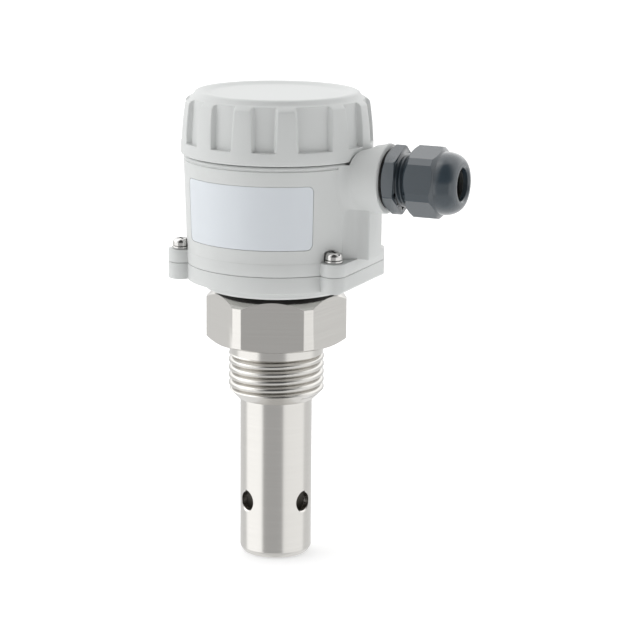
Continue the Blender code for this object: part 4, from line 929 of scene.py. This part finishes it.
laminate, tree, shader = new_finish("glass epoxy laminate, solder mask")
mottled(tree, shader, "#0f5a33", "#146b3e", 3.0, 0.28, 0.38, 0.3, 0.003)
terminal_plastic, tree, shader = new_finish("polyamide, moulded green")
mottled(tree, shader, "#2a8f55", "#329b5f", 4.0, 0.40, 0.50, 0.3, 0.004)
chip_resin, tree, shader = new_finish("epoxy moulding compound")
mottled(tree, shader, "#202022", "#29292b", 1.5, 0.45, 0.60, 0.2, 0.006)
can_metal, tree, shader = new_finish("aluminium, drawn can", Metallic=1.0)
mottled(tree, shader, "#c6c8ca", "#d2d4d6", 1.5, 0.25, 0.35, 0.3, 0.002)
white_plastic, tree, shader = new_finish("polyamide, moulded natural white")
mottled(tree, shader, "#dedbd2", "#e6e3da", 3.0, 0.42, 0.52, 0.3, 0.004)
lead_jacket, tree, shader = new_finish("PVC insulation, extruded red")
mottled(tree, shader, "#a51d16", "#b4241c", 2.0, 0.40, 0.50, 0.3, 0.003)
cable_jacket, tree, shader = new_finish("PUR jacket, extruded grey")
mottled(tree, shader, "#4a4a4c", "#555557", 3.0, 0.45, 0.55, 0.3, 0.004)

# %% [markdown]
# ## Seals that show
# Two seals show as a thin dark line. The one behind the gland's flange is a flat ring. The one
# on the neck fills its groove; its black rim that spreads out between the hexagon and the lip
# above it is painted shade for the shadowed gap there.

# %% Flange gasket and neck seal
gasket_low, gasket_high = (corner.x for corner in rest_box("gland_gasket"))
flange_ring = ring("gland_flange_gasket", 9.6, 10.0, gasket_low, gasket_high)
settle(along_gland(flange_ring), "sensor", rubber, "black_rubber", "gland_gasket")
neck_low, neck_high = (corner.z for corner in rest_box("neck_seal"))
lip_gap_top = base_low.z - 0.08
# Inside 20.5 mm this is the real seal in its groove; the black rim out to 22.9 mm, up to just under
# the lip, is painted shade for the shadowed gap.
neck_seal_and_painted_gap_shade = turned("neck_seal_with_painted_gap_shade", [(18.7, neck_low), (22.6, neck_low), (22.9, lip_gap_top),
                                     (20.5, lip_gap_top), (20.5, neck_high), (18.7, neck_high)],
                   steps=128)
settle(neck_seal_and_painted_gap_shade, "sensor", rubber, "black_rubber", "neck_seal")

# %% Finishes on the CAD nodes that stay
kept_nodes = {
    "steel": (steel, ["temperature_probe", "screen_ring"]),
    "bright_steel": (bright, ["neck_nut", "board_screw_1", "board_screw_2", "board_screw_3"]
                     + [f"terminal_screw_{k}" for k in range(1, 6)]),
    "black_rubber": (rubber, ["lid_seal", "base_gasket", "probe_o_ring", "gland_seal"]),
    "sensor_plastic": (sensor_plastic, ["coil_carrier", "coil_cover"]),
    "copper": (copper, ["drive_coil", "receive_coil"]),
    "laminate": (laminate, ["circuit_board"]),
    "terminal_plastic": (terminal_plastic, ["terminal_block"]),
    "chip_resin": (chip_resin, ["signal_chip"]),
    "can_metal": (can_metal, ["storage_capacitor"]),
    "white_plastic": (white_plastic, ["lead_plug", "gland_thrust_ring"]),
    "lead_jacket": (lead_jacket, ["coil_lead"]),
    "cable_jacket": (cable_jacket, ["sensor_cable"])}
for slot, (finish, names) in kept_nodes.items():
    for name in names:
        for holder in frame["nodes"][name].material_slots:
            holder.material = finish
shown = [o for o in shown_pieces() if "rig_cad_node" in o]
print("CAD nodes that stay:", len(shown))
print("without a finish:", [o.name for o in shown
                            if o.name not in sum([n for _, n in kept_nodes.values()], [])])

# %% [markdown]
# ## Floor and light
# The photograph was taken in a white studio between two large soft boxes. They leave bright
# bands on the steel, with a quiet grey band between them where the camera stands. The whole
# studio is drawn into the world's sky as bands by direction, which gives soft light without
# noise. The floor is a very large white card; it is kept out of mirror reflections, as if the
# sensor had been photographed standing free, so the tube shows the soft boxes and not the card.

# %% Floor
choose(None)
bpy.ops.mesh.primitive_circle_add(vertices=96, radius=14.0, fill_type="NGON",
                                  location=(0, 0, tube_end * MM))
floor = bpy.context.object
floor.name = "pale_floor"
floor.visible_glossy = False
paper, tree, shader = new_finish("white card, matt", Roughness=0.9)
shader.inputs["Base Color"].default_value = linear("#e6e6e6")
shader.inputs["Emission Color"].default_value = linear("#ffffff")
shader.inputs["Emission Strength"].default_value = 0.36
floor.data.materials.append(paper)

# %% Studio sky with two soft boxes
world = bpy.data.worlds.new("white studio")
bpy.context.scene.world = world
world.use_nodes = True
sky = world.node_tree
toward = atan2(camera.location.y - aim.y, camera.location.x - aim.x)
turned_sky = node(sky, "ShaderNodeVectorRotate", {"rotation_type": "Z_AXIS", "Angle": -toward},
                  {"Vector": node(sky, "ShaderNodeTexCoord").outputs["Generated"]})
parts = node(sky, "ShaderNodeSeparateXYZ", links={"Vector": turned_sky.outputs[0]})
angle = node(sky, "ShaderNodeMath", {"operation": "ARCTAN2"},
             {0: parts.outputs["Y"], 1: parts.outputs["X"]})
share = node(sky, "ShaderNodeMapRange", {"From Min": -pi, "From Max": pi},
             {"Value": angle.outputs[0]})


def brightness_bands(name, stops):
    """A ramp over the compass: stops are (degrees from the camera, brightness up to 2)."""
    ramp = node(sky, "ShaderNodeValToRGB", {"label": name}, {"Fac": share.outputs["Result"]})
    for k, (degree, level) in enumerate(stops):
        place_on = (degree + 180) / 360
        stop = ramp.color_ramp.elements[k] if k < 2 else ramp.color_ramp.elements.new(place_on)
        stop.position = place_on
        stop.color = (level / 2, level / 2, level / 2, 1)
    return ramp


def blended(low_side, high_side, start, end):
    """Go from one sky to the next between two heights (the sine of the angle above the floor)."""
    step = node(sky, "ShaderNodeMapRange", {"From Min": start, "From Max": end},
                {"Value": parts.outputs["Z"]})
    return node(sky, "ShaderNodeMix", {"data_type": "RGBA"},
                {0: step.outputs["Result"], 6: low_side, 7: high_side}).outputs[2]


below = brightness_bands("below", [
    (-180, 1.0), (180, 1.0), (-80, 1.0), (-50, 0.8), (50, 0.8), (80, 1.0)])
eye_level = brightness_bands("eye level", [
    (-180, 0.85), (180, 0.85), (-112, 0.85), (-104, 1.45), (-45, 1.45), (-40, 0.53),
    (22, 0.53), (27, 1.15), (98, 1.2), (108, 0.85)])
high = brightness_bands("high", [
    (-180, 1.35), (180, 1.35), (-140, 1.5), (-100, 2.1), (-75, 1.9), (-50, 0.9), (-28, 0.08),
    (28, 0.08), (50, 0.45), (80, 1.2), (110, 1.5), (150, 1.4)])
overhead = node(sky, "ShaderNodeRGB")
overhead.outputs[0].default_value = (0.5, 0.5, 0.5, 1)
whole = blended(below.outputs[0], eye_level.outputs[0], -0.62, -0.45)
whole = blended(whole, high.outputs[0], 0.02, 0.25)
whole = blended(whole, overhead.outputs[0], 0.975, 0.995)
backdrop = sky.nodes["Background"]
backdrop.inputs["Strength"].default_value = 2.0
sky.links.new(whole, backdrop.inputs["Color"])
bpy.context.scene.view_settings.view_transform = "Standard"
print("sky nodes:", len(sky.nodes))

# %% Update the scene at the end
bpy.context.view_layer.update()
